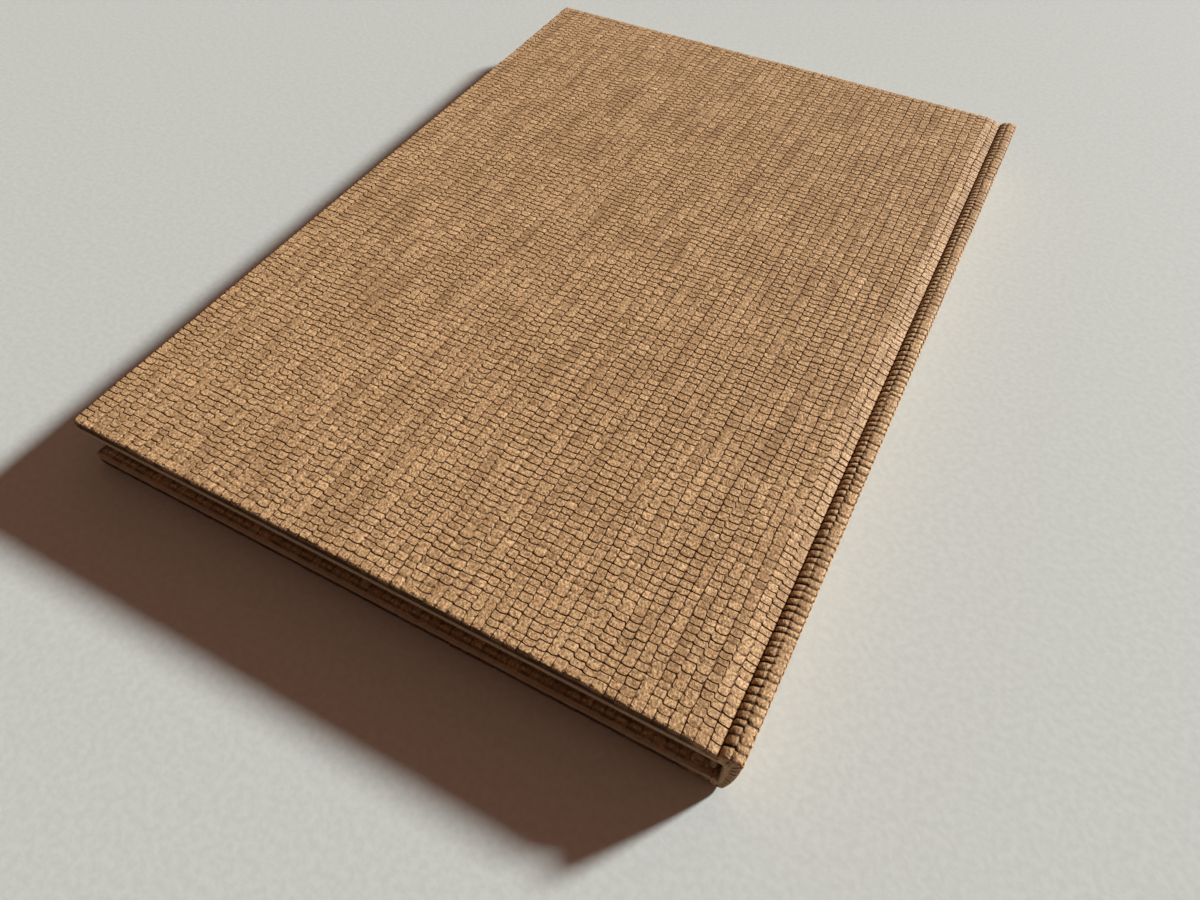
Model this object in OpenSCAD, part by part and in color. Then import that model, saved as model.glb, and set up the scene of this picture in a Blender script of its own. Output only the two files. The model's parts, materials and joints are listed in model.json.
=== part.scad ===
// Hardback journal, closed and lying on its back cover.
// X runs from the fore-edge to the spine, Y from the tail to the head, Z up.
// The origin is at the centre of the underside.

/* [Pages] */
// Width of a leaf, from the fore-edge to the spine
page_w = 148; // [90:1:216]
// Height of a leaf, from tail to head
page_h = 210; // [120:1:303]
// Thickness of all the leaves together
pages_t = 7; // [4:0.5:40]

/* [Boards] */
// Thickness of the front and back boards
board_t = 2.8; // [1.6:0.1:4]
// Thickness of the board inside the spine
spine_board_t = 2.4; // [1.6:0.1:4]
// Overhang of the cover past the leaves at head and tail
square_ends = 3; // [1.5:0.5:8]
// Overhang of the cover past the leaves at the fore-edge
square_fore = 3.4; // [1.5:0.1:8]

/* [Covering] */
// Thickness of the covering over faces and edges
covering_t = 0.55; // [0.3:0.05:0.9]
// Thickness of the covering where it is turned in and pressed
turn_in_t = 0.45; // [0.3:0.05:0.6]
// Width of the turned-in margin
turn_in_w = 15; // [10:1:25]
// Outer radius of the covered board edges
edge_r = 0.6; // [0.3:0.1:1.2]

/* [Joint grooves] */
// Depth of the crease below the cover's face
groove_d = 1.15; // [0.6:0.05:1.6]
// Width of the slope from the board down to the crease
groove_board_w = 4.4; // [4:0.1:8]
// Width of the slope from the crease up to the spine ridge
groove_spine_w = 2.3; // [1.8:0.1:3]
// Distance from the crease to the inner face of the spine board
crease_to_spine_board = 1.85; // [1.5:0.05:2.5]
// Distance from the crease to the edge of the board
board_setback = 3.7; // [3:0.1:6]
// Gap in the covering at the crease, where the cover turns
crease_gap = 0.5; // [0.4:0.1:1]

/* [Spine edges] */
// Outer radius of the spine's front edge
spine_front_r = 0.9; // [0.6:0.1:1.6]
// Outer radius of the spine's back edge, which is worn rounder
spine_back_r = 2.4; // [0.6:0.1:2.4]

/* [Endpapers] */
// Thickness of a pastedown
pastedown_t = 0.2; // [0.1:0.05:0.3]
// Thickness of a flyleaf
flyleaf_t = 0.15; // [0.1:0.05:0.3]

/* [Spine of the block] */
// Thickness of the mull glued to the spine of the block
mull_t = 0.3; // [0.2:0.05:0.5]
// Length of the mull left short of the leaves at each end
mull_short = 10; // [8:1:20]
// Width of each mull flange under a pastedown
mull_flange_w = 25; // [15:1:40]
// Thickness of a mull flange pressed under a pastedown
mull_flange_t = 0.15; // [0.1:0.05:0.2]
// Clearance between the ends of a mull flange and the turned-in margins
mull_flange_clear = 1; // [0.5:0.5:5]
// Thickness of the paper liner over the mull
liner_t = 0.2; // [0.1:0.05:0.4]
// Length of the liner left short of the leaves at each end
liner_short = 2; // [1:0.5:6]
// Hollow between the liner and the turned-in covering of the spine
hollow_gap = 0.6; // [0.4:0.1:0.9]
// Width of a head or tail band's bead
band_w = 1.6; // [1.2:0.1:2.4]
// Height of a head or tail band's bead above the leaves
band_rise = 1.5; // [1.3:0.1:2]
// Clearance between a band's tape and the mull
band_tape_clear = 1; // [0.5:0.5:3]

/* [Hidden] */
$fn = 64;
past = 1;

// Overall sizes of the closed book
case_h = page_h + 2 * square_ends;
case_w = square_fore + page_w + mull_t + liner_t + hollow_gap + turn_in_t + spine_board_t + covering_t;
cover_t = covering_t + board_t + turn_in_t;
case_t = pages_t + 2 * (flyleaf_t + pastedown_t + cover_t);

// Places across the book
x_fore = -case_w / 2;
x_spine = case_w / 2;
x_panel_in = x_spine - covering_t - spine_board_t;
x_crease = x_panel_in - crease_to_spine_board;
x_groove = x_crease - groove_board_w;
x_board_end = x_crease - board_setback;
x_flap_end = x_crease - crease_gap / 2;
x_ridge = x_crease + groove_spine_w;
x_panel_start = x_crease + crease_gap / 2;
x_page = x_fore + square_fore;
x_page_spine = x_page + page_w;
x_mull = x_page_spine + mull_t;
x_liner = x_mull + liner_t;
x_window = x_fore + turn_in_w;

// Places along the book, each the same at head and tail
y_end = case_h / 2;
y_board = y_end - covering_t;
y_window = y_end - turn_in_w;
y_page = page_h / 2;
y_mull = y_page - mull_short;
y_flange = min(y_mull, y_window - mull_flange_clear);

// Levels of the front cover, from its face down
z_face = case_t;
z_board_top = z_face - covering_t;
z_board_under = z_board_top - board_t;
z_cover_under = z_face - cover_t;
z_pastedown_under = z_cover_under - pastedown_t;
z_block_top = z_pastedown_under - flyleaf_t;
z_block_under = z_block_top - pages_t;

// Slopes of the groove, and how far the covering's underside lies below a sloping face
board_slope = groove_d / groove_board_w;
spine_slope = groove_d / groove_spine_w;
board_slope_t = covering_t * sqrt(1 + board_slope * board_slope);
spine_slope_t = covering_t * sqrt(1 + spine_slope * spine_slope);

// Level of the covering's underside on the board's side of the crease
function under_board_slope(x) = z_face - (x - x_groove) * board_slope - board_slope_t;
// Where that underside meets the board's flat top
x_under_groove = x_groove - (board_slope_t - covering_t) / board_slope;

// Level of the covering's face and underside on the spine's side of the crease
function spine_slope_face(x) = z_face - (x_ridge - x) * spine_slope;
function under_spine_slope(x) = spine_slope_face(x) - spine_slope_t;
// Where that underside meets the spine board's top edge
x_under_ridge = x_ridge + (spine_slope_t - covering_t) / spine_slope;
// Top of the covering turned in behind the spine board
z_turn_in_top = min(under_spine_slope(x_panel_in), z_board_top);

// Turns a shape of the front cover over to the back cover
module to_back() {
    translate([0, 0, case_t]) mirror([0, 0, 1]) children();
}

// A plate between two corners
module plate(low, high) {
    translate(low) cube(high - low);
}

// Runs a section drawn in X and Z along the book, to y on each side
module along_y(y) {
    rotate([90, 0, 0]) linear_extrude(height = 2 * y, center = true) children();
}

// The waste outside a rounded corner at the origin whose solid lies towards -X and -Y
module corner_waste(r) {
    difference() {
        translate([-r, -r]) square(r + past);
        translate([-r, -r]) circle(r);
    }
}

// Section of the covered front board, hinge flap included
module cover_section() {
    difference() {
        polygon([
            [x_fore, z_cover_under],
            [x_flap_end, z_cover_under],
            [x_flap_end, z_face - (x_flap_end - x_groove) * board_slope],
            [x_groove, z_face],
            [x_fore, z_face]
        ]);
        translate([x_fore, z_face]) mirror([1, 0]) corner_waste(edge_r);
        translate([x_fore, z_cover_under]) mirror([1, 0]) mirror([0, 1]) corner_waste(edge_r);
    }
}

// Section across the length of a covered piece from level z_low up to the face, with rounded edges
module end_section(z_low) {
    difference() {
        translate([-y_end, z_low]) square([2 * y_end, z_face - z_low]);
        for (side = [0, 1]) {
            mirror([side, 0]) translate([y_end, z_face]) corner_waste(edge_r);
            mirror([side, 0]) translate([y_end, z_low]) mirror([0, 1]) corner_waste(edge_r);
        }
    }
}

// Outline of the case seen from above, with rounded corners
module plan_section() {
    difference() {
        translate([x_fore, -y_end]) square([case_w, case_h]);
        for (side = [0, 1]) mirror([0, side]) {
            translate([x_spine, y_end]) corner_waste(edge_r);
            translate([x_fore, y_end]) mirror([1, 0]) corner_waste(edge_r);
        }
    }
}

// Runs a section in X and Z along the book and rounds its ends, from level z_low up to the face
module rounded_run(z_low) {
    intersection() {
        along_y(y_end) children();
        translate([x_fore - past, 0, 0]) rotate([90, 0, 90])
            linear_extrude(height = case_w + 2 * past) end_section(z_low);
        translate([0, 0, z_low - past]) linear_extrude(height = case_t + 2 * past) plan_section();
    }
}

// Section of the space inside the covering, to the right-hand end x_right
module lining_section(x_right) {
    x_left = x_fore + covering_t;
    difference() {
        translate([x_left, z_board_under]) square([x_right - x_left, board_t]);
        polygon([
            [x_under_groove, z_board_top],
            [x_spine, under_board_slope(x_spine)],
            [x_spine, z_face]
        ]);
    }
}

module front_board() {
    color([0.62, 0.58, 0.52]) along_y(y_board) lining_section(x_board_end);
}

module back_board() {
    to_back() front_board();
}

module front_covering() {
    color([0.64, 0.49, 0.35]) difference() {
        rounded_run(z_cover_under) cover_section();
        along_y(y_board) lining_section(x_flap_end + past);
        plate([x_window, -y_window, z_cover_under - past], [x_spine, y_window, z_board_under + past]);
    }
}

module back_covering() {
    to_back() front_covering();
}

// Outer section of the spine panel, from crease to crease
module panel_section() {
    difference() {
        polygon([
            [x_panel_start, case_t - spine_slope_face(x_panel_start)],
            [x_ridge, 0],
            [x_spine, 0],
            [x_spine, z_face],
            [x_ridge, z_face],
            [x_panel_start, spine_slope_face(x_panel_start)]
        ]);
        translate([x_spine, z_face]) corner_waste(spine_front_r);
        translate([x_spine, 0]) mirror([0, 1]) corner_waste(spine_back_r);
    }
}

// Section of the space inside the panel, open towards the block
module panel_lining_section(x_left) {
    x_out = x_spine - covering_t;
    difference() {
        translate([x_left, covering_t]) square([x_out - x_left, case_t - 2 * covering_t]);
        for (side = [0, 1]) translate([0, side * case_t]) mirror([0, side]) polygon([
            [x_under_ridge, covering_t],
            [x_fore, case_t - under_spine_slope(x_fore)],
            [x_fore, 0]
        ]);
        translate([x_out, z_board_top]) corner_waste(spine_front_r - covering_t);
        translate([x_out, covering_t]) mirror([0, 1]) corner_waste(spine_back_r - covering_t);
    }
}

module spine_board() {
    color([0.62, 0.58, 0.52]) along_y(y_board) panel_lining_section(x_panel_in);
}

module spine_covering() {
    color([0.64, 0.49, 0.35]) {
        difference() {
            rounded_run(0) panel_section();
            along_y(y_board) panel_lining_section(x_panel_start - past);
            plate([x_panel_start - past, -y_end - past, case_t - under_spine_slope(x_panel_start)],
                  [x_panel_in - turn_in_t, y_end + past, under_spine_slope(x_panel_start)]);
        }
        for (side = [0, 1]) mirror([0, side, 0])
            plate([x_panel_in - turn_in_t, y_window, case_t - z_turn_in_top],
                  [x_panel_in, y_board, z_turn_in_top]);
    }
}

module text_block() {
    color([0.93, 0.90, 0.82]) plate([x_page, -y_page, z_block_under], [x_page_spine, y_page, z_block_top]);
}

module front_flyleaf() {
    color([0.95, 0.92, 0.85]) plate([x_page, -y_page, z_block_top], [x_page_spine, y_page, z_pastedown_under]);
}

module back_flyleaf() {
    to_back() front_flyleaf();
}

// The space of the mull flange against the board
module flange_space() {
    plate([x_board_end - mull_flange_w, -y_flange, z_board_under - mull_flange_t],
          [x_board_end, y_flange, z_board_under]);
}

module mull_front_flange() {
    color([0.90, 0.88, 0.80]) flange_space();
}

module mull_back_flange() {
    to_back() mull_front_flange();
}

// The pastedown lies over the turned-in margins and steps up to the board inside them
module front_pastedown() {
    x_step = x_board_end - mull_flange_w - pastedown_t;
    color([0.95, 0.92, 0.85]) difference() {
        union() {
            plate([x_page, -y_page, z_pastedown_under], [x_flap_end, y_page, z_cover_under]);
            plate([x_window, -y_window, z_pastedown_under], [x_flap_end, y_window, z_board_under]);
        }
        flange_space();
        plate([x_window + pastedown_t, pastedown_t - y_window, z_pastedown_under - past],
              [x_step, y_window - pastedown_t, z_board_under - pastedown_t]);
        plate([x_step, pastedown_t - y_window, z_pastedown_under - past],
              [x_flap_end + past, y_window - pastedown_t, z_board_under - mull_flange_t - pastedown_t]);
    }
}

module back_pastedown() {
    to_back() front_pastedown();
}

module mull_spine() {
    color([0.90, 0.88, 0.80])
        plate([x_page_spine, -y_mull, case_t - z_pastedown_under], [x_mull, y_mull, z_pastedown_under]);
}

module spine_liner() {
    y_liner = y_page - liner_short;
    color([0.72, 0.62, 0.48])
        plate([x_mull, -y_liner, case_t - z_pastedown_under], [x_liner, y_liner, z_pastedown_under]);
}

// A woven bead on the end of the leaves, with its tape glued to the spine beyond the mull
module head_band() {
    bead_r = band_w / 2;
    shank = band_rise - bead_r;
    color([0.75, 0.62, 0.45]) {
        translate([x_mull - bead_r, y_page, z_block_under]) linear_extrude(height = pages_t) {
            translate([-bead_r, 0]) square([band_w, shank]);
            translate([0, shank]) intersection() {
                circle(bead_r);
                translate([-bead_r, 0]) square([band_w, bead_r]);
            }
        }
        plate([x_page_spine, y_mull + band_tape_clear, z_block_under],
              [x_mull, y_page + shank, z_block_top]);
    }
}

module tail_band() {
    mirror([0, 1, 0]) head_band();
}

front_board();
back_board();
spine_board();
front_covering();
spine_covering();
back_covering();
text_block();
front_flyleaf();
back_flyleaf();
front_pastedown();
back_pastedown();
mull_spine();
mull_front_flange();
mull_back_flange();
spine_liner();
head_band();
tail_band();
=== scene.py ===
"""Looks of a hardback journal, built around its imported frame.

Shapes are worked out in millimetres in the case's own coordinates: u runs across the case from the
fore-edge to the spine, v along it from the tail to the head, and h up from the face of the front cover,
so that everything inside has a negative h. The back cover uses the same coordinates turned over.
Meshes are made in metres in the row frame.
"""

import copy
import json
import logging
import math
from collections.abc import Sequence
from dataclasses import dataclass, field
from enum import Enum

import bmesh
import bpy
import numpy as np
from mathutils import Matrix, Vector

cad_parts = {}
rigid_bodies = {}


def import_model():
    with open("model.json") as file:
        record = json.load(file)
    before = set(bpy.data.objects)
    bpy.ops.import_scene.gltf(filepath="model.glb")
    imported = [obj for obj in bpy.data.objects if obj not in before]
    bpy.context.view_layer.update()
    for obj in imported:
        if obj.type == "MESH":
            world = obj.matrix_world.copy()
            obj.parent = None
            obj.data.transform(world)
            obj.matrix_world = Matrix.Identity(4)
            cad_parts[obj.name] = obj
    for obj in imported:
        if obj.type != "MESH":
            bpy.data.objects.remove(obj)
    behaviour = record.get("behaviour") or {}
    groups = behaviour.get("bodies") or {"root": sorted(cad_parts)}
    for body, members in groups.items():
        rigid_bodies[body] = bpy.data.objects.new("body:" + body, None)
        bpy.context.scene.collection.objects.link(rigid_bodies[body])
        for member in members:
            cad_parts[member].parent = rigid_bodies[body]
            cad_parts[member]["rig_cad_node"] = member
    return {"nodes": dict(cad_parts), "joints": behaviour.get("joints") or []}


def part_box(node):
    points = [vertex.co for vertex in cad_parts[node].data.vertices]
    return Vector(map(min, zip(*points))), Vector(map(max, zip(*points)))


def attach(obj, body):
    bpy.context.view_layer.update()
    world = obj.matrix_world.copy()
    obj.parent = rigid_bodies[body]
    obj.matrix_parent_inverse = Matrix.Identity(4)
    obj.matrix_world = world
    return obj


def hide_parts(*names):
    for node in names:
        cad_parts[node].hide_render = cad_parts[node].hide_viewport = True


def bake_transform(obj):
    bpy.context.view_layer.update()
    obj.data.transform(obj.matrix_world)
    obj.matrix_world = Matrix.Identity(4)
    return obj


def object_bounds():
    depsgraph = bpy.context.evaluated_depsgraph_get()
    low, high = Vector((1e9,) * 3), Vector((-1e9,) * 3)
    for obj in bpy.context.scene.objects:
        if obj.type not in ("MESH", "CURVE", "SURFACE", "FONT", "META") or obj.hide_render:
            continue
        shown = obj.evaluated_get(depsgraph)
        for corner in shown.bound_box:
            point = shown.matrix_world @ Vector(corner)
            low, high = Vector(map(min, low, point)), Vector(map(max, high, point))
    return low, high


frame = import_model()
CAD_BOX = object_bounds()

MM = 0.001
log = logging.getLogger("journal")


class Side(Enum):
    """The cover of the closed book that a piece belongs to."""

    FRONT = "front"
    BACK = "back"


def in_case(name: str) -> tuple[np.ndarray, np.ndarray]:
    """Reads a node's box in case coordinates.

    Args:
        name: The node's name.

    Returns:
        The lowest and highest (u, v, h) in millimetres.
    """
    origin = np.array([CAD_BOX[0].x, CAD_BOX[0].y, CAD_BOX[1].z])
    low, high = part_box(name)
    return (np.array(low) - origin) / MM, (np.array(high) - origin) / MM


@dataclass(frozen=True)
class CaseSizes:
    """Main sizes of the closed case in millimetres, read from the frame."""

    width: float
    height: float
    thickness: float
    cloth: float
    board_under: float
    cover: float
    board_end: float
    crease: float
    panel_inner: float

    @classmethod
    def from_frame(cls) -> "CaseSizes":
        """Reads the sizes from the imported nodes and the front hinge.

        Returns:
            The case's sizes.
        """
        size = (CAD_BOX[1] - CAD_BOX[0]) / MM
        board_low, board_high = in_case("front_board")
        covering_low, _ = in_case("front_covering")
        spine_low, _ = in_case("spine_board")
        hinge = next(j for j in frame["joints"] if j["name"] == "front_hinge")
        cloth = -board_high[2]
        return cls(
            width=size.x,
            height=size.y,
            thickness=size.z,
            cloth=cloth,
            board_under=-board_low[2],
            cover=-covering_low[2],
            board_end=board_high[0],
            crease=hinge["pos_m"][0] / MM + size.x / 2,
            panel_inner=spine_low[0] - (-covering_low[2] + board_low[2]),
        )


CASE = CaseSizes.from_frame()


def to_row(points: np.ndarray, side: Side) -> np.ndarray:
    """Turns case coordinates into the row frame.

    Args:
        points: Any array whose last axis is (u, v, h) in millimetres.
        side: The cover whose face h is measured from.

    Returns:
        The same points as (x, y, z) in metres.
    """
    placed = np.empty_like(points)
    placed[..., 0] = points[..., 0] - CASE.width / 2
    placed[..., 1] = points[..., 1] - CASE.height / 2
    placed[..., 2] = CASE.thickness + points[..., 2] if side is Side.FRONT else -points[..., 2]
    return placed * MM


def drift(rng: np.random.Generator, rows: int, count: int, step: float) -> np.ndarray:
    """Makes smooth random lines.

    Args:
        rng: Source of the random knots.
        rows: Number of lines.
        count: Number of values along each line.
        step: Number of values from one knot to the next.

    Returns:
        Values from -1 to 1, one line a row.
    """
    return between(rng.uniform(-1, 1, (rows, int(count / step) + 3)), count, step)


def between(knots: np.ndarray, count: int, step: float) -> np.ndarray:
    """Fills in smoothly between the knots of each row.

    Args:
        knots: The values at the knots, one line a row.
        count: Number of values wanted along each line.
        step: Number of values from one knot to the next.

    Returns:
        The lines, one a row.
    """
    place = np.arange(count) / step
    index = place.astype(int)
    share = place - index
    share = share * share * (3 - 2 * share)
    return knots[:, index] * (1 - share) + knots[:, index + 1] * share


def patches(rng: np.random.Generator, rows: int, count: int, size: tuple[float, float]) -> np.ndarray:
    """Makes smooth random patches.

    Args:
        rng: Source of the random knots.
        rows: Number of rows.
        count: Number of values in each row.
        size: Rows and values from one knot to the next.

    Returns:
        Values from -1 to 1.
    """
    coarse = drift(rng, int(rows / size[0]) + 3, count, size[1])
    return between(coarse.T, rows, size[0]).T


def uneven_line(rng: np.random.Generator, count: int, step: float) -> np.ndarray:
    """Makes one smooth random line with values from 0 to 1."""
    return 0.5 + 0.5 * drift(rng, 1, count, step)[0]


def at_least(least: float, share: np.ndarray) -> np.ndarray:
    """Moves values from 0..1 to least..1."""
    return least + (1 - least) * share


@dataclass
class Relief:
    """The embossed pattern sampled on a grid of points, rows along the book and columns across it."""

    across: np.ndarray
    along: np.ndarray
    groove: np.ndarray
    crack: np.ndarray
    sink: np.ndarray
    brow: np.ndarray
    cell: np.ndarray

    def depth(self, cut: float = 0.21, dip: float = 0.06, crown: float = 0.015) -> np.ndarray:
        """Gives how far each point lies below the top of the pillows.

        Args:
            cut: Depth of a full groove or crack.
            dip: Most that a pillow lies below its neighbours.
            crown: How far a pillow falls from its middle to its corners.

        Returns:
            The depths in millimetres.
        """
        lines = np.maximum(self.groove, self.crack)
        return cut * lines + dip * self.sink + crown * self.brow


@dataclass
class Emboss:
    """The covering's pattern of small pillows, in columns across the case and rows along it.

    Long grooves part the columns and wander as they run from tail to head. Short cracks part the rows,
    each with its own strength and sag, and a faint crack leaves two pillows grown together.
    """

    columns: int
    straight: tuple[int, ...]
    bold: tuple[int, ...]
    rows: int = 128
    seed: int = 23
    grown_together: float = 0.1
    faint: float = 0.04
    crossing: float = 0.8
    loose_limit: float = 2.0
    groove_steady: tuple[float, float] = (0.45, 1.05)
    groove_slow: float = 0.32
    groove_loose: float = 0.22
    groove_limits: tuple[float, float] = (0.12, 1.0)
    groove_knots: float = 13.0
    groove_patch: tuple[float, float] = (4.0, 9.0)
    groove_patch_share: float = 0.6
    crack_steady: float = 0.66
    crack_slow: float = 0.12
    crack_loose: float = 0.27
    crack_limits: tuple[float, float] = (0.08, 1.0)
    crack_knots: float = 2.5
    crack_patch: tuple[float, float] = (4.0, 8.0)
    crack_patch_share: float = 2.4
    bold_extra: float = 0.6
    bold_limits: tuple[float, float] = (0.5, 1.6)
    wander_slow: float = 0.1
    wander_loose: float = 0.04
    wander_knots: float = 7.0
    shift_slow: float = 0.5
    shift_loose: float = 0.08
    shift_knots: float = 9.0
    sag_limits: tuple[float, float] = (-0.04, 0.2)
    sink_own: float = 0.6
    sink_column: float = 0.4
    groove: np.ndarray = field(init=False)
    crack: np.ndarray = field(init=False)
    wander: np.ndarray = field(init=False)
    shift: np.ndarray = field(init=False)
    sag: np.ndarray = field(init=False)
    sink: np.ndarray = field(init=False)

    def __post_init__(self) -> None:
        """Draws the pattern's random tables once."""
        rng = np.random.default_rng(self.seed)
        self._draw_grooves(rng)
        self._draw_cracks(rng)
        self._draw_places(rng)
        own = rng.random((self.columns, self.rows)) ** 2
        self.sink = self.sink_own * own + self.sink_column * rng.random((self.columns, 1))

    def _draw_grooves(self, rng: np.random.Generator) -> None:
        """Draws how strong each groove is beside each row.

        Args:
            rng: Source of the random numbers.
        """
        n, m = self.columns + 1, self.rows
        steady = rng.uniform(*self.groove_steady, (n, 1))
        slow = drift(rng, n, m, self.groove_knots)
        slow = slow + self.groove_patch_share * patches(rng, n, m, self.groove_patch)
        strength = steady + self.groove_slow * slow + self.groove_loose * rng.normal(size=(n, m))
        self.groove = strength.clip(*self.groove_limits)
        self.groove[[self.bold[0], self.bold[-1] + 1]] = 1

    def _draw_cracks(self, rng: np.random.Generator) -> None:
        """Draws how strong the crack at each end of each pillow is.

        Args:
            rng: Source of the random numbers.
        """
        n, m = self.columns, self.rows + 1
        shared = drift(rng, m, n, self.crack_knots).T
        shared = shared + self.crack_patch_share * patches(rng, n, m, self.crack_patch)
        strength = self.crack_steady + self.crack_slow * shared + self.crack_loose * rng.normal(size=(n, m))
        self.crack = strength.clip(*self.crack_limits)
        self.crack[rng.random((n, m)) < self.grown_together] = self.faint
        bold = list(self.bold)
        self.crack[bold] = (self.crack[bold] + self.bold_extra).clip(*self.bold_limits)
        self.crack[:, [0, -1]] = 0

    def _draw_places(self, rng: np.random.Generator) -> None:
        """Draws how far the grooves and cracks stray from an even grid.

        Args:
            rng: Source of the random numbers.
        """
        n, m, limit = self.columns, self.rows + 1, self.loose_limit
        loose = rng.normal(size=(n + 1, m)).clip(-limit, limit)
        slow = drift(rng, n + 1, m, self.wander_knots)
        self.wander = self.wander_slow * slow + self.wander_loose * loose
        self.wander[list(self.straight)] = 0
        own = self.shift_loose * rng.normal(size=(n, m)).clip(-limit, limit)
        ends = np.minimum(1, np.minimum(np.arange(m), np.arange(m)[::-1]) / 2)
        self.shift = (own + self.shift_slow * drift(rng, n, m, self.shift_knots)) * ends
        self.sag = rng.uniform(*self.sag_limits, (n, m))
        self.sag[:, [0, -1]] = 0

    def turned(self) -> "Emboss":
        """Gives the same pattern with its columns counted from the other end.

        Returns:
            The turned pattern.
        """
        other = copy.copy(self)
        for name in ("groove", "crack", "shift", "sag", "sink"):
            setattr(other, name, getattr(self, name)[::-1])
        other.wander = -self.wander[::-1]
        return other

    def sample(self, first: int, last: int, across: Sequence[float], along: Sequence[float]) -> Relief:
        """Samples the columns from first up to last.

        Args:
            first: First column.
            last: Boundary after the last column.
            across: Places within a column, from 0 and below 1.
            along: Places within a row, from 0 and below 1.

        Returns:
            The relief on a grid with a row for each place along and a column for each place across.
        """
        k = np.arange((last - first) * len(across) + 1)
        i = first + k // len(across)
        s = np.array(across)[k % len(across)]
        m = np.arange(self.rows * len(along) + 1)
        j = m // len(along)
        t = np.array(along)[m % len(along)][:, None]
        right = i.clip(0, self.columns - 1)
        left = np.where(s == 0, (i - 1).clip(0), right)
        upper = j.clip(0, self.rows - 1)[:, None]
        lower = np.where(t == 0, (j[:, None] - 1).clip(0), upper)
        bow = 1 - (2 * s - 1) ** 2
        lines = (self.shift[left] + self.shift[right]).T / 2 - self.sag[right].T * bow
        following = (j + 1).clip(0, self.rows)
        row = j[:, None] + t + lines[j] * (1 - t) + lines[following] * t
        turn = self.wander[i].T
        turn_next = self.wander[(i + 1).clip(0, self.columns)].T
        here = turn[j] * (1 - t) + turn[following] * t
        there = turn_next[j] * (1 - t) + turn_next[following] * t
        column = (i - first) + s + here * (1 - s) + there * s
        on_groove = (s == 0)[None, :]
        groove = (self.groove[i, upper] + self.groove[i, lower]) / 2 * on_groove
        crack = np.maximum(self.crack[left].T[j], self.crack[right].T[j])
        crack = crack * (t == 0) * np.where(on_groove, self.crossing, 1.0)
        corners = ((left, lower), (left, upper), (right, lower), (right, upper))
        sink = sum(self.sink[corner] for corner in corners) / len(corners)
        brow = ((2 * s - 1) ** 2 + (2 * t - 1) ** 2) / 2
        cell = np.stack(np.broadcast_arrays(i + s + 0.0 * t, j[:, None] + t + 0.0 * s), axis=-1)
        return Relief(column, row, groove, crack, sink, brow, cell)


Level = np.ndarray | float


@dataclass
class Marks:
    """What the covering's material reads at each point of a grid."""

    groove: np.ndarray
    crack: np.ndarray
    press: np.ndarray
    over: np.ndarray
    cell: np.ndarray
    sheet: np.ndarray


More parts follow.
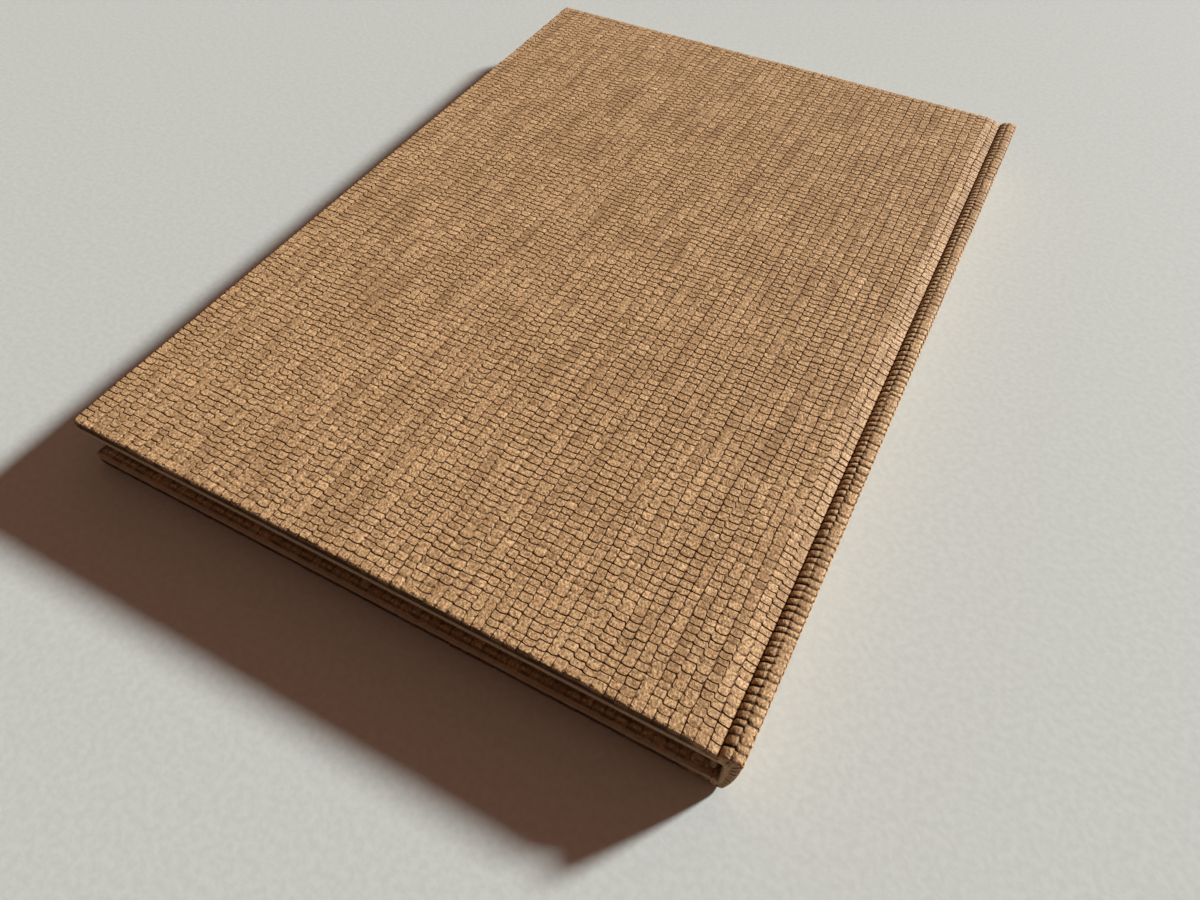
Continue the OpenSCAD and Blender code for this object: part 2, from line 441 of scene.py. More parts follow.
class Skin:
    """Collects grids and polygons of points and welds them into one mesh.

    Each point's marks are a row of eight numbers: groove, crack, press, the pillow's column and row,
    the way over the edge, and the place on the flat sheet. A point without marks counts as pressed.
    """

    weld = 0.0008
    unmarked = (0.0, 0.0, 1.0, 0.0, 0.0, 0.0, 0.0, 0.0)

    def __init__(self, side: Side = Side.FRONT) -> None:
        """Starts an empty skin.

        Args:
            side: The cover whose coordinates the points are given in.
        """
        self.side = side
        self.points: list[np.ndarray] = []
        self.marks: list[np.ndarray] = []
        self.faces: list[list[int]] = []
        self.flat: set[int] = set()
        self.count = 0

    def _take(self, points: np.ndarray, marks: Marks | None) -> np.ndarray:
        """Stores points with their marks.

        Args:
            points: Any array whose last axis is (u, v, h) in millimetres.
            marks: What the covering's material reads there, if anything.

        Returns:
            The points' numbers in the skin, in the points' own layout.
        """
        flat = points.reshape(-1, 3)
        table = np.tile(self.unmarked, (len(flat), 1))
        if marks is not None:
            shape = points.shape[:-1]
            for place, values in ((0, marks.groove), (1, marks.crack), (2, marks.press), (5, marks.over)):
                table[:, place] = np.broadcast_to(values, shape).ravel()
            table[:, 3:5] = np.broadcast_to(marks.cell, (*shape, 2)).reshape(-1, 2)
            table[:, 6:8] = np.broadcast_to(marks.sheet, (*shape, 2)).reshape(-1, 2)
        else:
            table[:, 6:8] = flat[:, :2]
        self.points.append(flat)
        self.marks.append(table)
        index = self.count + np.arange(len(flat)).reshape(points.shape[:-1])
        self.count += len(flat)
        return index

    def grid(self, points: np.ndarray, marks: Marks | None = None) -> None:
        """Adds a grid of quads over an array of points with a row and a column axis.

        Args:
            points: Any array whose last axis is (u, v, h) in millimetres.
            marks: What the covering's material reads there, if anything.
        """
        at = self._take(points, marks)
        quads = np.stack([at[:-1, :-1], at[:-1, 1:], at[1:, 1:], at[1:, :-1]], axis=-1)
        self.faces.extend(quads.reshape(-1, 4).tolist())

    def polygon(self, points: np.ndarray, marks: Marks | None = None) -> None:
        """Adds one flat face whose corners are given in order."""
        self.flat.add(len(self.faces))
        self.faces.append(self._take(points, marks).tolist())

    def slab(self, u: np.ndarray, v: np.ndarray, low: Level, high: Level) -> None:
        """Adds a closed sheet between two levels over the grid lines u and v.

        Args:
            u: Grid lines across the case.
            v: Grid lines along it.
            low: One face's h, or a table of it.
            high: The other face's h, or a table of it.
        """
        place = np.stack(np.meshgrid(u, v), axis=-1)
        shape = place.shape[:2]
        levels = (np.broadcast_to(level, shape)[..., None] for level in (high, low))
        top, under = (np.concatenate([place, level], axis=-1) for level in levels)
        self.grid(top)
        self.grid(under)
        for edge in (np.s_[0], np.s_[-1], np.s_[:, 0], np.s_[:, -1]):
            self.grid(np.stack([top[edge], under[edge]]))

    def build(self, name: str, sharp_deg: float | None = None) -> bpy.types.Object:
        """Welds what was collected and makes the object.

        Args:
            name: Name of the object.
            sharp_deg: Edges that turn by more than this stay sharp, if given.

        Returns:
            The object, linked to the scene, in the row frame.
        """
        points = np.concatenate(self.points)
        marks = np.concatenate(self.marks)
        keys = np.round(points / self.weld).astype(np.int64)
        _, kept, place = np.unique(keys, axis=0, return_index=True, return_inverse=True)
        place = place.ravel()
        faces, smooth = [], []
        for number, corners in enumerate(self.faces):
            welded = place[corners].tolist()
            ring = [c for n, c in enumerate(welded) if c != welded[n - 1]]
            if len(ring) > 2 and len(set(ring)) == len(ring):
                faces.append(ring)
                smooth.append(number not in self.flat)
        mesh = bpy.data.meshes.new(name)
        mesh.from_pydata(to_row(points[kept], self.side).tolist(), [], faces)
        mesh.polygons.foreach_set("use_smooth", smooth)
        mesh.update()
        self._write_marks(mesh, marks[kept])
        self._face_outwards(mesh, name)
        if sharp_deg is not None:
            mesh.set_sharp_from_angle(angle=math.radians(sharp_deg))
        made = bpy.data.objects.new(name, mesh)
        bpy.context.scene.collection.objects.link(made)
        return made

    @staticmethod
    def _write_marks(mesh: bpy.types.Mesh, marks: np.ndarray) -> None:
        """Writes the marks as the vectors relief, cell and sheet, sheet in metres.

        Args:
            mesh: The mesh that takes them.
            marks: A row of eight numbers for each point.
        """
        blank = np.zeros((len(marks), 1))
        layers = {
            "relief": marks[:, 0:3],
            "cell": marks[:, 3:6],
            "sheet": np.hstack([marks[:, 6:8] * MM, blank]),
        }
        for name, values in layers.items():
            layer = mesh.attributes.new(name, "FLOAT_VECTOR", "POINT")
            layer.data.foreach_set("vector", np.ascontiguousarray(values, np.float32).ravel())

    @staticmethod
    def _face_outwards(mesh: bpy.types.Mesh, name: str) -> None:
        """Turns every closed shell's faces outwards and reports edges that don't join two faces.

        Args:
            mesh: The mesh to mend.
            name: The piece's name, for the report.
        """
        work = bmesh.new()
        work.from_mesh(mesh)
        bmesh.ops.recalc_face_normals(work, faces=work.faces)
        loose = sum(not edge.is_manifold for edge in work.edges)
        log.info("%s: %d faces, %d open edges", name, len(work.faces), loose)
        work.to_mesh(mesh)
        work.free()
        mesh.update()


@dataclass(frozen=True)
class EdgeRing:
    """A line of points round a covered edge, from the face over the shoulder to the underside; its shade is
    painted shade on the covering there.
    """

    inset: float
    drop: float
    lean_deg: float
    hold: float
    ragged: float
    shade: float
    press: float


# The shade column is painted shade, darkest on the band just under the shoulder.
EDGE_RINGS = (
    EdgeRing(0.30, 0.08, 30, 1.0, 0.5, 0.0, 0.0),
    EdgeRing(0.07, 0.33, 62, 1.0, 1.0, 0.2, 0.0),
    EdgeRing(0.00, 0.85, 88, 0.8, 1.0, 0.8, 0.0),
    EdgeRing(0.05, 2.00, 90, 0.5, 1.0, 0.9, 0.0),
    EdgeRing(0.06, 2.30, 90, 0.15, 0.15, 0.2, 0.9),
    EdgeRing(0.00, 3.10, 92, 0.1, 0.1, 0.0, 1.0),
    EdgeRing(0.12, 3.58, 135, 0.1, 0.0, 0.1, 1.0),
    EdgeRing(0.60, 3.80, 180, 0.0, 0.0, 0.3, 1.0),
)
EDGE_INSET = 0.6
CALM_WIDTH = 2.0
ACROSS = (0.0, 0.08, 0.5, 0.91)
ALONG = (0.0, 0.1, 0.89)
CRISP_DEG = 26.0
TINY = 1e-9
CELL_MARGIN = 0.01
TORN_KNOTS = 2.3
LEAST_SHADE = 0.55
TURN_IN_WIDTHS = (1.0, 1.5, 2.0, 2.5, 3.1, 3.8, 15.0)
PILLOWS_END = 4.0


def around(grid: np.ndarray) -> np.ndarray:
    """Reads a grid's border from the spine end of the tail, round the fore-edge, to the head.

    Args:
        grid: Values with a row axis (tail to head) and a column axis (fore-edge to spine) first.

    Returns:
        The border's values in order, each corner once.
    """
    return np.concatenate([grid[0, ::-1], grid[1:, 0], grid[-1, 1:]])


@dataclass
class CoveredBoard:
    """The covering over one board's face and round its three outer edges."""

    side: Side
    emboss: Emboss
    end: float
    seed: int
    columns: int
    corner: float = 0.4
    uneven: float = 0.1
    uneven_limit: float = 2.0
    shoulder_rings: int = 4
    shoulder_strength: tuple[float, float] = (0.4, 1.0)
    torn_depth: float = 0.16
    shoulder_depth: float = 0.12
    # Least share of the painted edge shade that goes into the crack mark.
    least_crack_shade: float = 0.5
    pillow: float = 2.0
    margin_depth: float = 0.1
    margin_knots: float = 3.0
    margin_press: float = 0.25
    rings_a_line: int = 3

    def __post_init__(self) -> None:
        """Works out the face, its border and the way out from each border point."""
        self.relief = self.emboss.sample(0, self.columns, ACROSS, ALONG)
        rng = np.random.default_rng(self.seed)
        loose = rng.normal(size=self.columns).clip(-self.uneven_limit, self.uneven_limit)
        widths = 1 + self.uneven * loose
        places = np.concatenate([[0], np.cumsum(widths)]) / widths.sum()
        bounds = EDGE_INSET + places * (self.end - EDGE_INSET)
        u = np.interp(self.relief.across, np.arange(self.columns + 1), bounds)
        v = EDGE_INSET + self.relief.along * (CASE.height - 2 * EDGE_INSET) / self.emboss.rows
        self.sheet = self._rounded(np.stack([u, v], axis=-1))
        self.border = around(self.sheet)
        self.outward = self._outward()
        self.wear = rng

    def _from_corners(self, places: np.ndarray) -> tuple[np.ndarray, np.ndarray]:
        """Gives each place's way out from the nearer corner's centre, and whether it lies past it.

        Args:
            places: Any array whose last axis is (u, v).

        Returns:
            The ways out, and a table of True and False.
        """
        centre = EDGE_INSET + self.corner
        across = places[..., 0] - centre
        tail, head = places[..., 1] - centre, places[..., 1] - (CASE.height - centre)
        along = np.where(places[..., 1] < CASE.height / 2, tail.clip(max=0), head.clip(min=0))
        return np.stack([across, along], axis=-1), (across < 0) & (along != 0)

    def _rounded(self, places: np.ndarray) -> np.ndarray:
        """Draws the two fore-edge corners in to quarter circles.

        Args:
            places: Any array whose last axis is (u, v).

        Returns:
            The places, moved.
        """
        offset, past = self._from_corners(places)
        length = np.hypot(offset[..., 0], offset[..., 1]).clip(min=TINY)
        share = np.abs(offset).max(axis=-1) / length
        moved = places - offset * (1 - share)[..., None]
        return np.where(past[..., None], moved, places)

    def _outward(self) -> np.ndarray:
        """Gives the way out of the case at each border point.

        Returns:
            A unit (u, v) for each border point.
        """
        rows, columns = self.sheet.shape[:2]
        sides = np.zeros_like(self.border)
        sides[:columns] = (0, -1)
        sides[columns : columns + rows - 1] = (-1, 0)
        sides[columns + rows - 1 :] = (0, 1)
        offset, past = self._from_corners(self.border)
        radial = offset / np.linalg.norm(offset, axis=-1, keepdims=True).clip(min=TINY)
        return np.where(past[:, None], radial, sides)

    def _shoulder(self) -> np.ndarray:
        """Draws the broken cracks where the pillows end over the shoulder.

        Returns:
            A crack strength for each ring and border point.
        """
        cell = np.floor(around(self.relief.cell) + CELL_MARGIN)
        _, block = np.unique(cell, axis=0, return_inverse=True)
        block = block.ravel()
        ring = self.wear.integers(0, self.shoulder_rings, block.max() + 1)
        strength = self.wear.uniform(*self.shoulder_strength, block.max() + 1)
        rings = np.arange(len(EDGE_RINGS))[:, None]
        return np.where(rings == ring[block], strength[block], 0.0)

    def build(self) -> bpy.types.Object:
        """Builds the closed skin of covering over the board.

        Returns:
            The covering's object.
        """
        relief = self.relief
        depth = relief.depth()
        skin = Skin(self.side)
        face = np.concatenate([self.sheet, -depth[..., None]], axis=-1)
        skin.grid(face, Marks(relief.groove, relief.crack, 0.0, 0.0, relief.cell, self.sheet))
        edge, cell, groove = around(depth), around(relief.cell), around(relief.groove)
        calm = ((self.end - self.border[:, 0]) / CALM_WIDTH).clip(0, 1)
        cracks = self._shoulder() * calm
        ragged = uneven_line(self.wear, len(edge), TORN_KNOTS) * calm
        none = 0 * edge
        rings = [around(face)]
        marks = [(groove, none, none, none, cell, self.border)]
        run, last = 0.0, (EDGE_INSET, 0.0)
        for ring, crack in zip(EDGE_RINGS, cracks):
            run += math.hypot(ring.inset - last[0], ring.drop - last[1])
            last = (ring.inset, ring.drop)
            lean = math.radians(ring.lean_deg)
            torn_in = ring.ragged * (self.torn_depth * ragged + self.shoulder_depth * crack)
            sunk = ring.hold * edge + torn_in
            place = self.border + self.outward * (EDGE_INSET - ring.inset - math.sin(lean) * sunk)[:, None]
            level = -ring.drop - math.cos(lean) * sunk
            rings.append(np.concatenate([place, level[:, None]], axis=-1))
            spread = self.outward * run
            # Painted shade round the edge goes into the groove mark, and into the crack mark beside the
            # real shoulder cracks.
            shade = np.maximum(groove * ring.hold, ring.shade * at_least(LEAST_SHADE, ragged))
            cracks_and_shade = np.maximum(crack, ring.shade * at_least(self.least_crack_shade, ragged)) * ring.ragged
            lines = (shade, cracks_and_shade, ring.press + none, run + none)
            marks.append((*lines, cell + spread / self.pillow, self.border + spread))
        for level in (-CASE.board_under, -CASE.cloth):
            place = self.border + self.outward * (EDGE_INSET - CASE.cloth)
            rings.append(np.concatenate([place, np.full((len(place), 1), level)], axis=-1))
            marks.append(marks[-1])
        shell = np.stack(rings)
        skin.grid(shell, Marks(*(np.stack(values) for values in zip(*marks))))
        skin.polygon(shell[-1])
        skin.polygon(np.concatenate([face[:, -1], shell[1:, -1], shell[:0:-1, 0]]))
        made = skin.build(f"{self.side.value}_covering", CRISP_DEG)
        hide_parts(f"{self.side.value}_covering")
        return made

    def turn_in_place(self, width: float) -> np.ndarray:
        """Gives the line on the underside that lies a width in from the outline, mitred at the corners.

        Args:
            width: The distance from the outline.

        Returns:
            A place (u, v) for each border point.
        """
        moved = self.border + self.outward * (EDGE_INSET - width)
        if width <= EDGE_INSET + self.corner:
            return moved
        _, past = self._from_corners(self.border)
        mitred = np.where(past[:, None], self.border, moved)
        mitred[:, 0] = mitred[:, 0].clip(min=width)
        mitred[:, 1] = mitred[:, 1].clip(width, CASE.height - width)
        return mitred

    def build_turn_ins(self) -> bpy.types.Object:
        """Builds the covering's three turned-in margins on the board's inner side.

        Returns:
            The margins' object.
        """
        groove, cell = around(self.relief.groove), around(self.relief.cell)
        rng = np.random.default_rng(self.emboss.seed + 2)
        along = np.minimum(self.border[:, 1], CASE.height - self.border[:, 1])
        clear = (np.maximum(self.border[:, 0], along) / PILLOWS_END - 1).clip(0, 1)
        none = 0 * groove
        rings, marks = [], []
        widths = (EDGE_INSET, *TURN_IN_WIDTHS)
        for number, width in enumerate(widths):
            fade = 0.0 if number == 0 or width > PILLOWS_END else 1.0
            broken = uneven_line(rng, len(groove), self.margin_knots)
            line = fade * (number % self.rings_a_line == 1) * broken
            sunk = self.margin_depth * clear * np.maximum(fade * groove, line)
            place = self.turn_in_place(width)
            level = -CASE.cover + sunk
            rings.append(np.concatenate([place, level[:, None]], axis=-1))
            spread = self.outward * (CASE.cover + width)
            lines = (fade * groove, line, self.margin_press + none, CASE.cover + width + none)
            marks.append((*lines, cell + spread / self.pillow, self.border + spread))
        for width in (widths[-1], EDGE_INSET):
            place = self.turn_in_place(width)
            rings.append(np.concatenate([place, np.full((len(place), 1), -CASE.board_under)], axis=-1))
            marks.append(marks[-1])
        rings.append(rings[0])
        marks.append(marks[0])
        shell = np.stack(rings)
        skin = Skin(self.side)
        skin.grid(shell, Marks(*(np.stack(values) for values in zip(*marks))))
        skin.polygon(shell[:-1, 0])
        skin.polygon(shell[:-1, -1])
        made = skin.build(f"{self.side.value}_turn_ins")
        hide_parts(f"{self.side.value}_covering")
        return made


class Outline:
    """A smooth line across the covering, in (u, h), with its places given by arc length."""

    def __init__(self, points: Sequence[tuple[float, float]], steps: int = 24) -> None:
        """Draws a spline through the points.

        Args:
            points: The places that the line passes through.
            steps: Number of short lines between two points.
        """
        knots = np.array(points, float)
        ends = np.vstack([2 * knots[0] - knots[1], knots, 2 * knots[-1] - knots[-2]])
        share = np.linspace(0, 1, steps, endpoint=False)[:, None]
        spans = []
        for a, b, c, d in zip(ends, ends[1:], ends[2:], ends[3:]):
            square, cube = 2 * a - 5 * b + 4 * c - d, 3 * b - a - 3 * c + d
            spans.append((2 * b + (c - a) * share + square * share**2 + cube * share**3) / 2)
        self.line = np.vstack([*spans, knots[-1:]])
        gaps = np.hypot(*np.diff(self.line, axis=0).T)
        self.run = np.concatenate([[0], np.cumsum(gaps)])
        self.length = float(self.run[-1])

    def at(self, run: np.ndarray) -> np.ndarray:
        """Gives the places at distances along the line."""
        return np.stack([np.interp(run, self.run, self.line[:, n]) for n in (0, 1)], axis=-1)

    def normal(self, run: np.ndarray, reach: float = 0.15) -> np.ndarray:
        """Gives the way out of the cover, to the left of the line as it runs.

        Args:
            run: Distances along the line.
            reach: How far to each side the line's direction is read.

        Returns:
            A unit (u, h) for each distance.
        """
        step = self.at(run + reach) - self.at(run - reach)
        step /= np.linalg.norm(step, axis=-1, keepdims=True).clip(min=TINY)
        return np.stack([-step[..., 1], step[..., 0]], axis=-1)


EndRow = tuple[np.ndarray, np.ndarray, float, float]


@dataclass
class WrappedStrip:
    """A strip of covering that runs from tail to head along an outline and is folded round both ends.

    Subclasses say where the fold's inner side lies.
    """

    name: str
    side: Side
    emboss: Emboss
    first: int
    bounds: tuple[float, ...]
    outline: Outline
    across: tuple[float, ...] = (0.0, 0.08, 0.28, 0.5, 0.72, 0.91)
    along: tuple[float, ...] = ALONG
    sharp_deg: float | None = CRISP_DEG
    held: tuple[int, ...] = (-1,)
    press: float = 1.0
    edge_shade_share: float = 1.0
    torn_depth: float = 0.1
    groove_depth: float = 0.08
    margin_press: float = 0.3
    ring_step: float = 0.5
    pillow: float = 1.7

    def inner(self, run: np.ndarray) -> np.ndarray:
        """Gives the turned-in side's place for each place on the outline.

        Args:
            run: Distances along the outline.

        Returns:
            A place (u, h) for each distance.
        """
        place = self.outline.at(run)
        place[..., 1] = -CASE.cover
        return place

    def layer(self, run: np.ndarray) -> np.ndarray:
        """Gives the way from the turned-in side into the board."""
        return np.broadcast_to(np.array([0.0, 1.0]), (*run.shape, 2))

    def _row(self, place: np.ndarray, v: float | np.ndarray) -> np.ndarray:
        """Puts places in (u, h) at a distance v along the book."""
        return np.stack([place[..., 0], np.broadcast_to(v, place.shape[:-1]), place[..., 1]], axis=-1)

    def _end(self, run: np.ndarray, groove: np.ndarray, depth: np.ndarray, sign: int) -> list[EndRow]:
        """Makes the rows over one end, from beside the face to the end of its turn-in.

        Args:
            run: Places on the outline.
            groove: Strength of the grooves there.
            depth: Depth of the face's relief there.
            sign: -1 at the tail and 1 at the head.

        Returns:
            A list of (points, groove, press, distance over the edge).
        """
        rng = np.random.default_rng(self.emboss.seed + 5 + sign)
        outer, inner, normal = self.outline.at(run), self.inner(run), self.outline.normal(run)
        base = CASE.height if sign > 0 else 0.0
        calm = (np.minimum(run - run[0], run[-1] - run) / CALM_WIDTH).clip(0, 1)
        rows, over = [], 0.0
        for ring in EDGE_RINGS:
            share = ring.drop / CASE.cover
            lean = math.radians(ring.lean_deg)
            ragged = uneven_line(rng, len(run), TORN_KNOTS) * calm
            sunk = ring.hold * depth + self.torn_depth * ring.ragged * ragged
            inwards = normal * (max(math.cos(lean), 0) * sunk)[:, None]
            place = outer * (1 - share) + inner * share - inwards
            v = base - sign * (ring.inset + math.sin(lean) * sunk)
            over += self.ring_step
            # Painted shade round the strip's end, scaled by the strip's share of it.
            shade = np.maximum(groove * ring.hold, self.edge_shade_share * ring.shade * at_least(LEAST_SHADE, ragged))
            rows.append((self._row(place, v), shade, ring.press * self.press, over))
        for width in TURN_IN_WIDTHS:
            shade = 0 * groove if width > PILLOWS_END else groove
            place = inner + self.layer(run) * (self.groove_depth * shade)[:, None]
            rows.append((self._row(place, base - sign * width), shade, self.margin_press, over + width))
        return rows

    def build(self) -> bpy.types.Object:
        """Builds the closed strip.

        Returns:
            The strip's object.
        """
        last = self.first + len(self.bounds) - 1
        relief = self.emboss.sample(self.first, last, self.across, self.along)
        run = np.interp(relief.across, np.arange(len(self.bounds)), self.bounds)
        v = EDGE_INSET + relief.along * (CASE.height - 2 * EDGE_INSET) / self.emboss.rows
        depth = relief.depth()
        depth[:, list(self.held)] = 0
        place = self.outline.at(run) - self.outline.normal(run) * depth[..., None]
        face = self._row(place, v)
        sheet = np.stack([run, v], axis=-1)
        blank = 0 * run
        whole = [face, relief.groove, relief.crack, blank, blank, relief.cell, sheet]
        for sign, row in ((-1, 0), (1, -1)):
            for place, line, flat, over in self._end(run[row], relief.groove[row], depth[row], sign):
                shift = np.array([0, sign * over])
                none = 0 * line
                places = (relief.cell[row] + shift / self.pillow, sheet[row] + shift)
                fresh = [values[None] for values in (place, line, none, none + flat, none + over, *places)]
                whole = [np.concatenate(pair if sign > 0 else pair[::-1]) for pair in zip(whole, fresh)]
        lining = self._lining(run[0])
        rests = [np.repeat(values[-1:], len(lining), axis=0) for values in whole[1:]]
        joined = [np.concatenate(pair) for pair in zip(whole, [lining, *rests])]
        closed = [np.concatenate([values, values[:1]]) for values in joined]
        skin = Skin(self.side)
        skin.grid(closed[0], Marks(*closed[1:]))
        skin.polygon(joined[0][:, 0])
        skin.polygon(joined[0][:, -1])
        return skin.build(self.name, self.sharp_deg)

    def _lining(self, run: np.ndarray) -> np.ndarray:
        """Makes the rows of the hidden inner side, from the head's turn-in back to the tail's.

        Args:
            run: Distances along the outline.

        Returns:
            A row of points for each step.
        """
        outer, inner = self.outline.at(run), self.inner(run)
        under = outer - self.outline.normal(run) * CASE.cloth
        behind = inner + self.layer(run) * (CASE.cover - CASE.board_under)
        head, width = CASE.height, TURN_IN_WIDTHS[-1]
        rows = (
            (behind, head - width),
            (behind, head - CASE.cloth),
            (under, head - CASE.cloth),
            (under, CASE.cloth),
            (behind, CASE.cloth),
            (behind, width),
        )
        return np.stack([self._row(place, v) for place, v in rows])


@dataclass
class SpineStrip(WrappedStrip):
    """The covering of the spine, folded round the ends of the spine board."""

    along: tuple[float, ...] = (0.0, 0.16, 0.4, 0.8)
    sharp_deg: float | None = None
    held: tuple[int, ...] = (0, -1)
    press: float = 0.15
    # Less painted shade round the spine's ends.
    edge_shade_share: float = 0.35

    def span(self) -> tuple[float, float]:
        """Gives where the outline passes the panel's inner side, near each crease."""
        beyond = self.outline.run[self.outline.line[:, 0] >= CASE.panel_inner]
        return float(beyond[0]), float(beyond[-1])

    def _share(self, run: np.ndarray) -> np.ndarray:
        """Gives how far each place lies from the front of the panel to its back."""
        front, back = self.span()
        return ((run - front) / (back - front)).clip(0, 1)

    def inner(self, run: np.ndarray) -> np.ndarray:
        """Gives the turned-in side: in line with the covers' undersides, then down behind the board.

        Args:
            run: Distances along the outline.

        Returns:
            A place (u, h) for each distance.
        """
        u = self.outline.at(run)[..., 0].clip(max=CASE.panel_inner)
        low = CASE.thickness - 2 * CASE.cover
        return np.stack([u, -CASE.cover - low * self._share(run)], axis=-1)

    def layer(self, run: np.ndarray) -> np.ndarray:
        """Gives the way from the turned-in side into the spine board, or into the cover beside it.

        Args:
            run: Distances along the outline.

        Returns:
            A unit (u, h) for each distance.
        """
        front, back = self.span()
        slopes = np.stack([0 * run, np.where(run < front, 1.0, -1.0)], axis=-1)
        beside = (run < front) | (run > back)
        return np.where(beside[..., None], slopes, np.array([1.0, 0.0]))


SHARP_DEG = 50.0


@dataclass
class SpineBoard:
    """The stiff board inside the spine, drawn to the covering's own outline."""

    strip: SpineStrip
    steps: int = 40
    short: float = 0.5
    least: float = 0.05
    bevel: float = 0.15
    bevel_share: float = 0.97
    sharp_deg: float = 40.0

    def build(self) -> bpy.types.Object:
        """Builds the board as one closed bar.

        Returns:
            The board's object.
        """
        front, back = self.strip.span()
        run = np.linspace(front + self.short, back - self.short, self.steps)
        outer = self.strip.outline.at(run) - self.strip.outline.normal(run) * CASE.cloth
        face = CASE.panel_inner + CASE.cover - CASE.board_under
        inner = np.stack([np.full(self.steps, face), outer[:, 1]], axis=-1)
        outer[:, 0] = outer[:, 0].clip(min=face + self.least)
        section = np.concatenate([outer, inner[::-1], outer[:1]])
        skin = Skin()
        tail, head = CASE.cloth, CASE.height - CASE.cloth
        middle = section.mean(axis=0)
        rows = []
        for v in (tail, tail + self.bevel, head - self.bevel, head):
            share = self.bevel_share if v in (tail, head) else 1.0
            place = middle + (section - middle) * share
            rows.append(np.stack([place[:, 0], np.full(len(place), v), place[:, 1]], axis=-1))
        bar = np.stack(rows)
        skin.grid(bar)
        skin.polygon(bar[0, :-1])
        skin.polygon(bar[-1, :-1])
        made = skin.build("spine_board", self.sharp_deg)
        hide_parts("spine_board")
        return made


def ramp(value: np.ndarray, start: float, width: float) -> np.ndarray:
    """Rises smoothly from 0 at start to 1 at start plus width."""
    share = ((value - start) / width).clip(0, 1)
    return share * share * (3 - 2 * share)


@dataclass
class Endpaper:
    """A folded sheet, one half pasted down on a cover and the other half lying on the block."""

    side: Side
    step: float = 0.6
    fold: float = 0.05
    free_width: float = 1.5
    lines: int = 24
    lines_a_step: int = 5
    bend_lines: int = 20
    flyleaf_lines: tuple[int, int] = (12, 16)

    def __post_init__(self) -> None:
        """Reads the boxes of the sheet's halves and of the flange under it."""
        self.leaf = in_case("front_flyleaf")
        self.pasted = in_case("front_pastedown")
        self.flange = in_case("mull_front_flange")

    def _lines(self, low: float, high: float, steps: Sequence[float]) -> np.ndarray:
        """Gives grid lines from low to high, close together where the sheet steps."""
        close = [np.linspace(place, place + self.step, self.lines_a_step) for place in steps]
        return np.unique(np.concatenate([np.linspace(low, high, self.lines), *close]).round(3))

    def _rise(self, u: np.ndarray, v: np.ndarray) -> np.ndarray:
        """Gives how far the sheet is pressed up past the turned-in margins.

        Args:
            u: Places across the case.
            v: Places along it.

        Returns:
            The height at each place.
        """
        margin, mull = TURN_IN_WIDTHS[-1], self.flange[0]
        inside, on_mull = (
            ramp(v, start, self.step) * ramp(CASE.height - v, start, self.step)
            for start in (margin, mull[1] - self.step)
        )
        window = ramp(u, margin, self.step) * inside
        over_mull = ramp(u, mull[0] - self.step, self.step) * on_mull
        stuck = 1 - ramp(u, self.flange[1][0], self.free_width)
        deep = CASE.cover - CASE.board_under
        return (deep * window - (self.flange[1][2] - mull[2]) * over_mull) * stuck

    def build_pastedown(self) -> bpy.types.Object:
        """Builds the half that is pasted to the board and crosses the joint.

        Returns:
            The pastedown's object.
        """
        low, _ = self.pasted
        leaf_low, leaf_high = self.leaf
        margin, end = TURN_IN_WIDTHS[-1], leaf_high[0] - self.fold
        u = self._lines(low[0], end, (margin, self.flange[0][0] - self.step))
        bend = np.linspace(self.flange[1][0], end, self.bend_lines)
        u = np.unique(np.concatenate([u, bend]).round(3))
        ends = (margin, self.flange[0][1] - self.step)
        far = tuple(CASE.height - place - self.step for place in ends)
        v = self._lines(leaf_low[1], leaf_high[1], (*ends, *far))
        under = low[2] + self._rise(*np.meshgrid(u, v))
        skin = Skin(self.side)
        skin.slab(u, v, under, under - CASE.cover - low[2])
        made = skin.build(f"{self.side.value}_pastedown", SHARP_DEG)
        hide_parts(f"{self.side.value}_pastedown")
        return made

    def build_flyleaf(self) -> bpy.types.Object:
        """Builds the free half that lies on the block.

        Returns:
            The flyleaf's object.
        """
        low, high = self.leaf
        skin = Skin(self.side)
        u, v = (np.linspace(low[axis], high[axis], count) for axis, count in enumerate(self.flyleaf_lines))
        skin.slab(u, v, low[2], high[2])
        made = skin.build(f"{self.side.value}_flyleaf", SHARP_DEG)
        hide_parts(f"{self.side.value}_flyleaf")
        return made


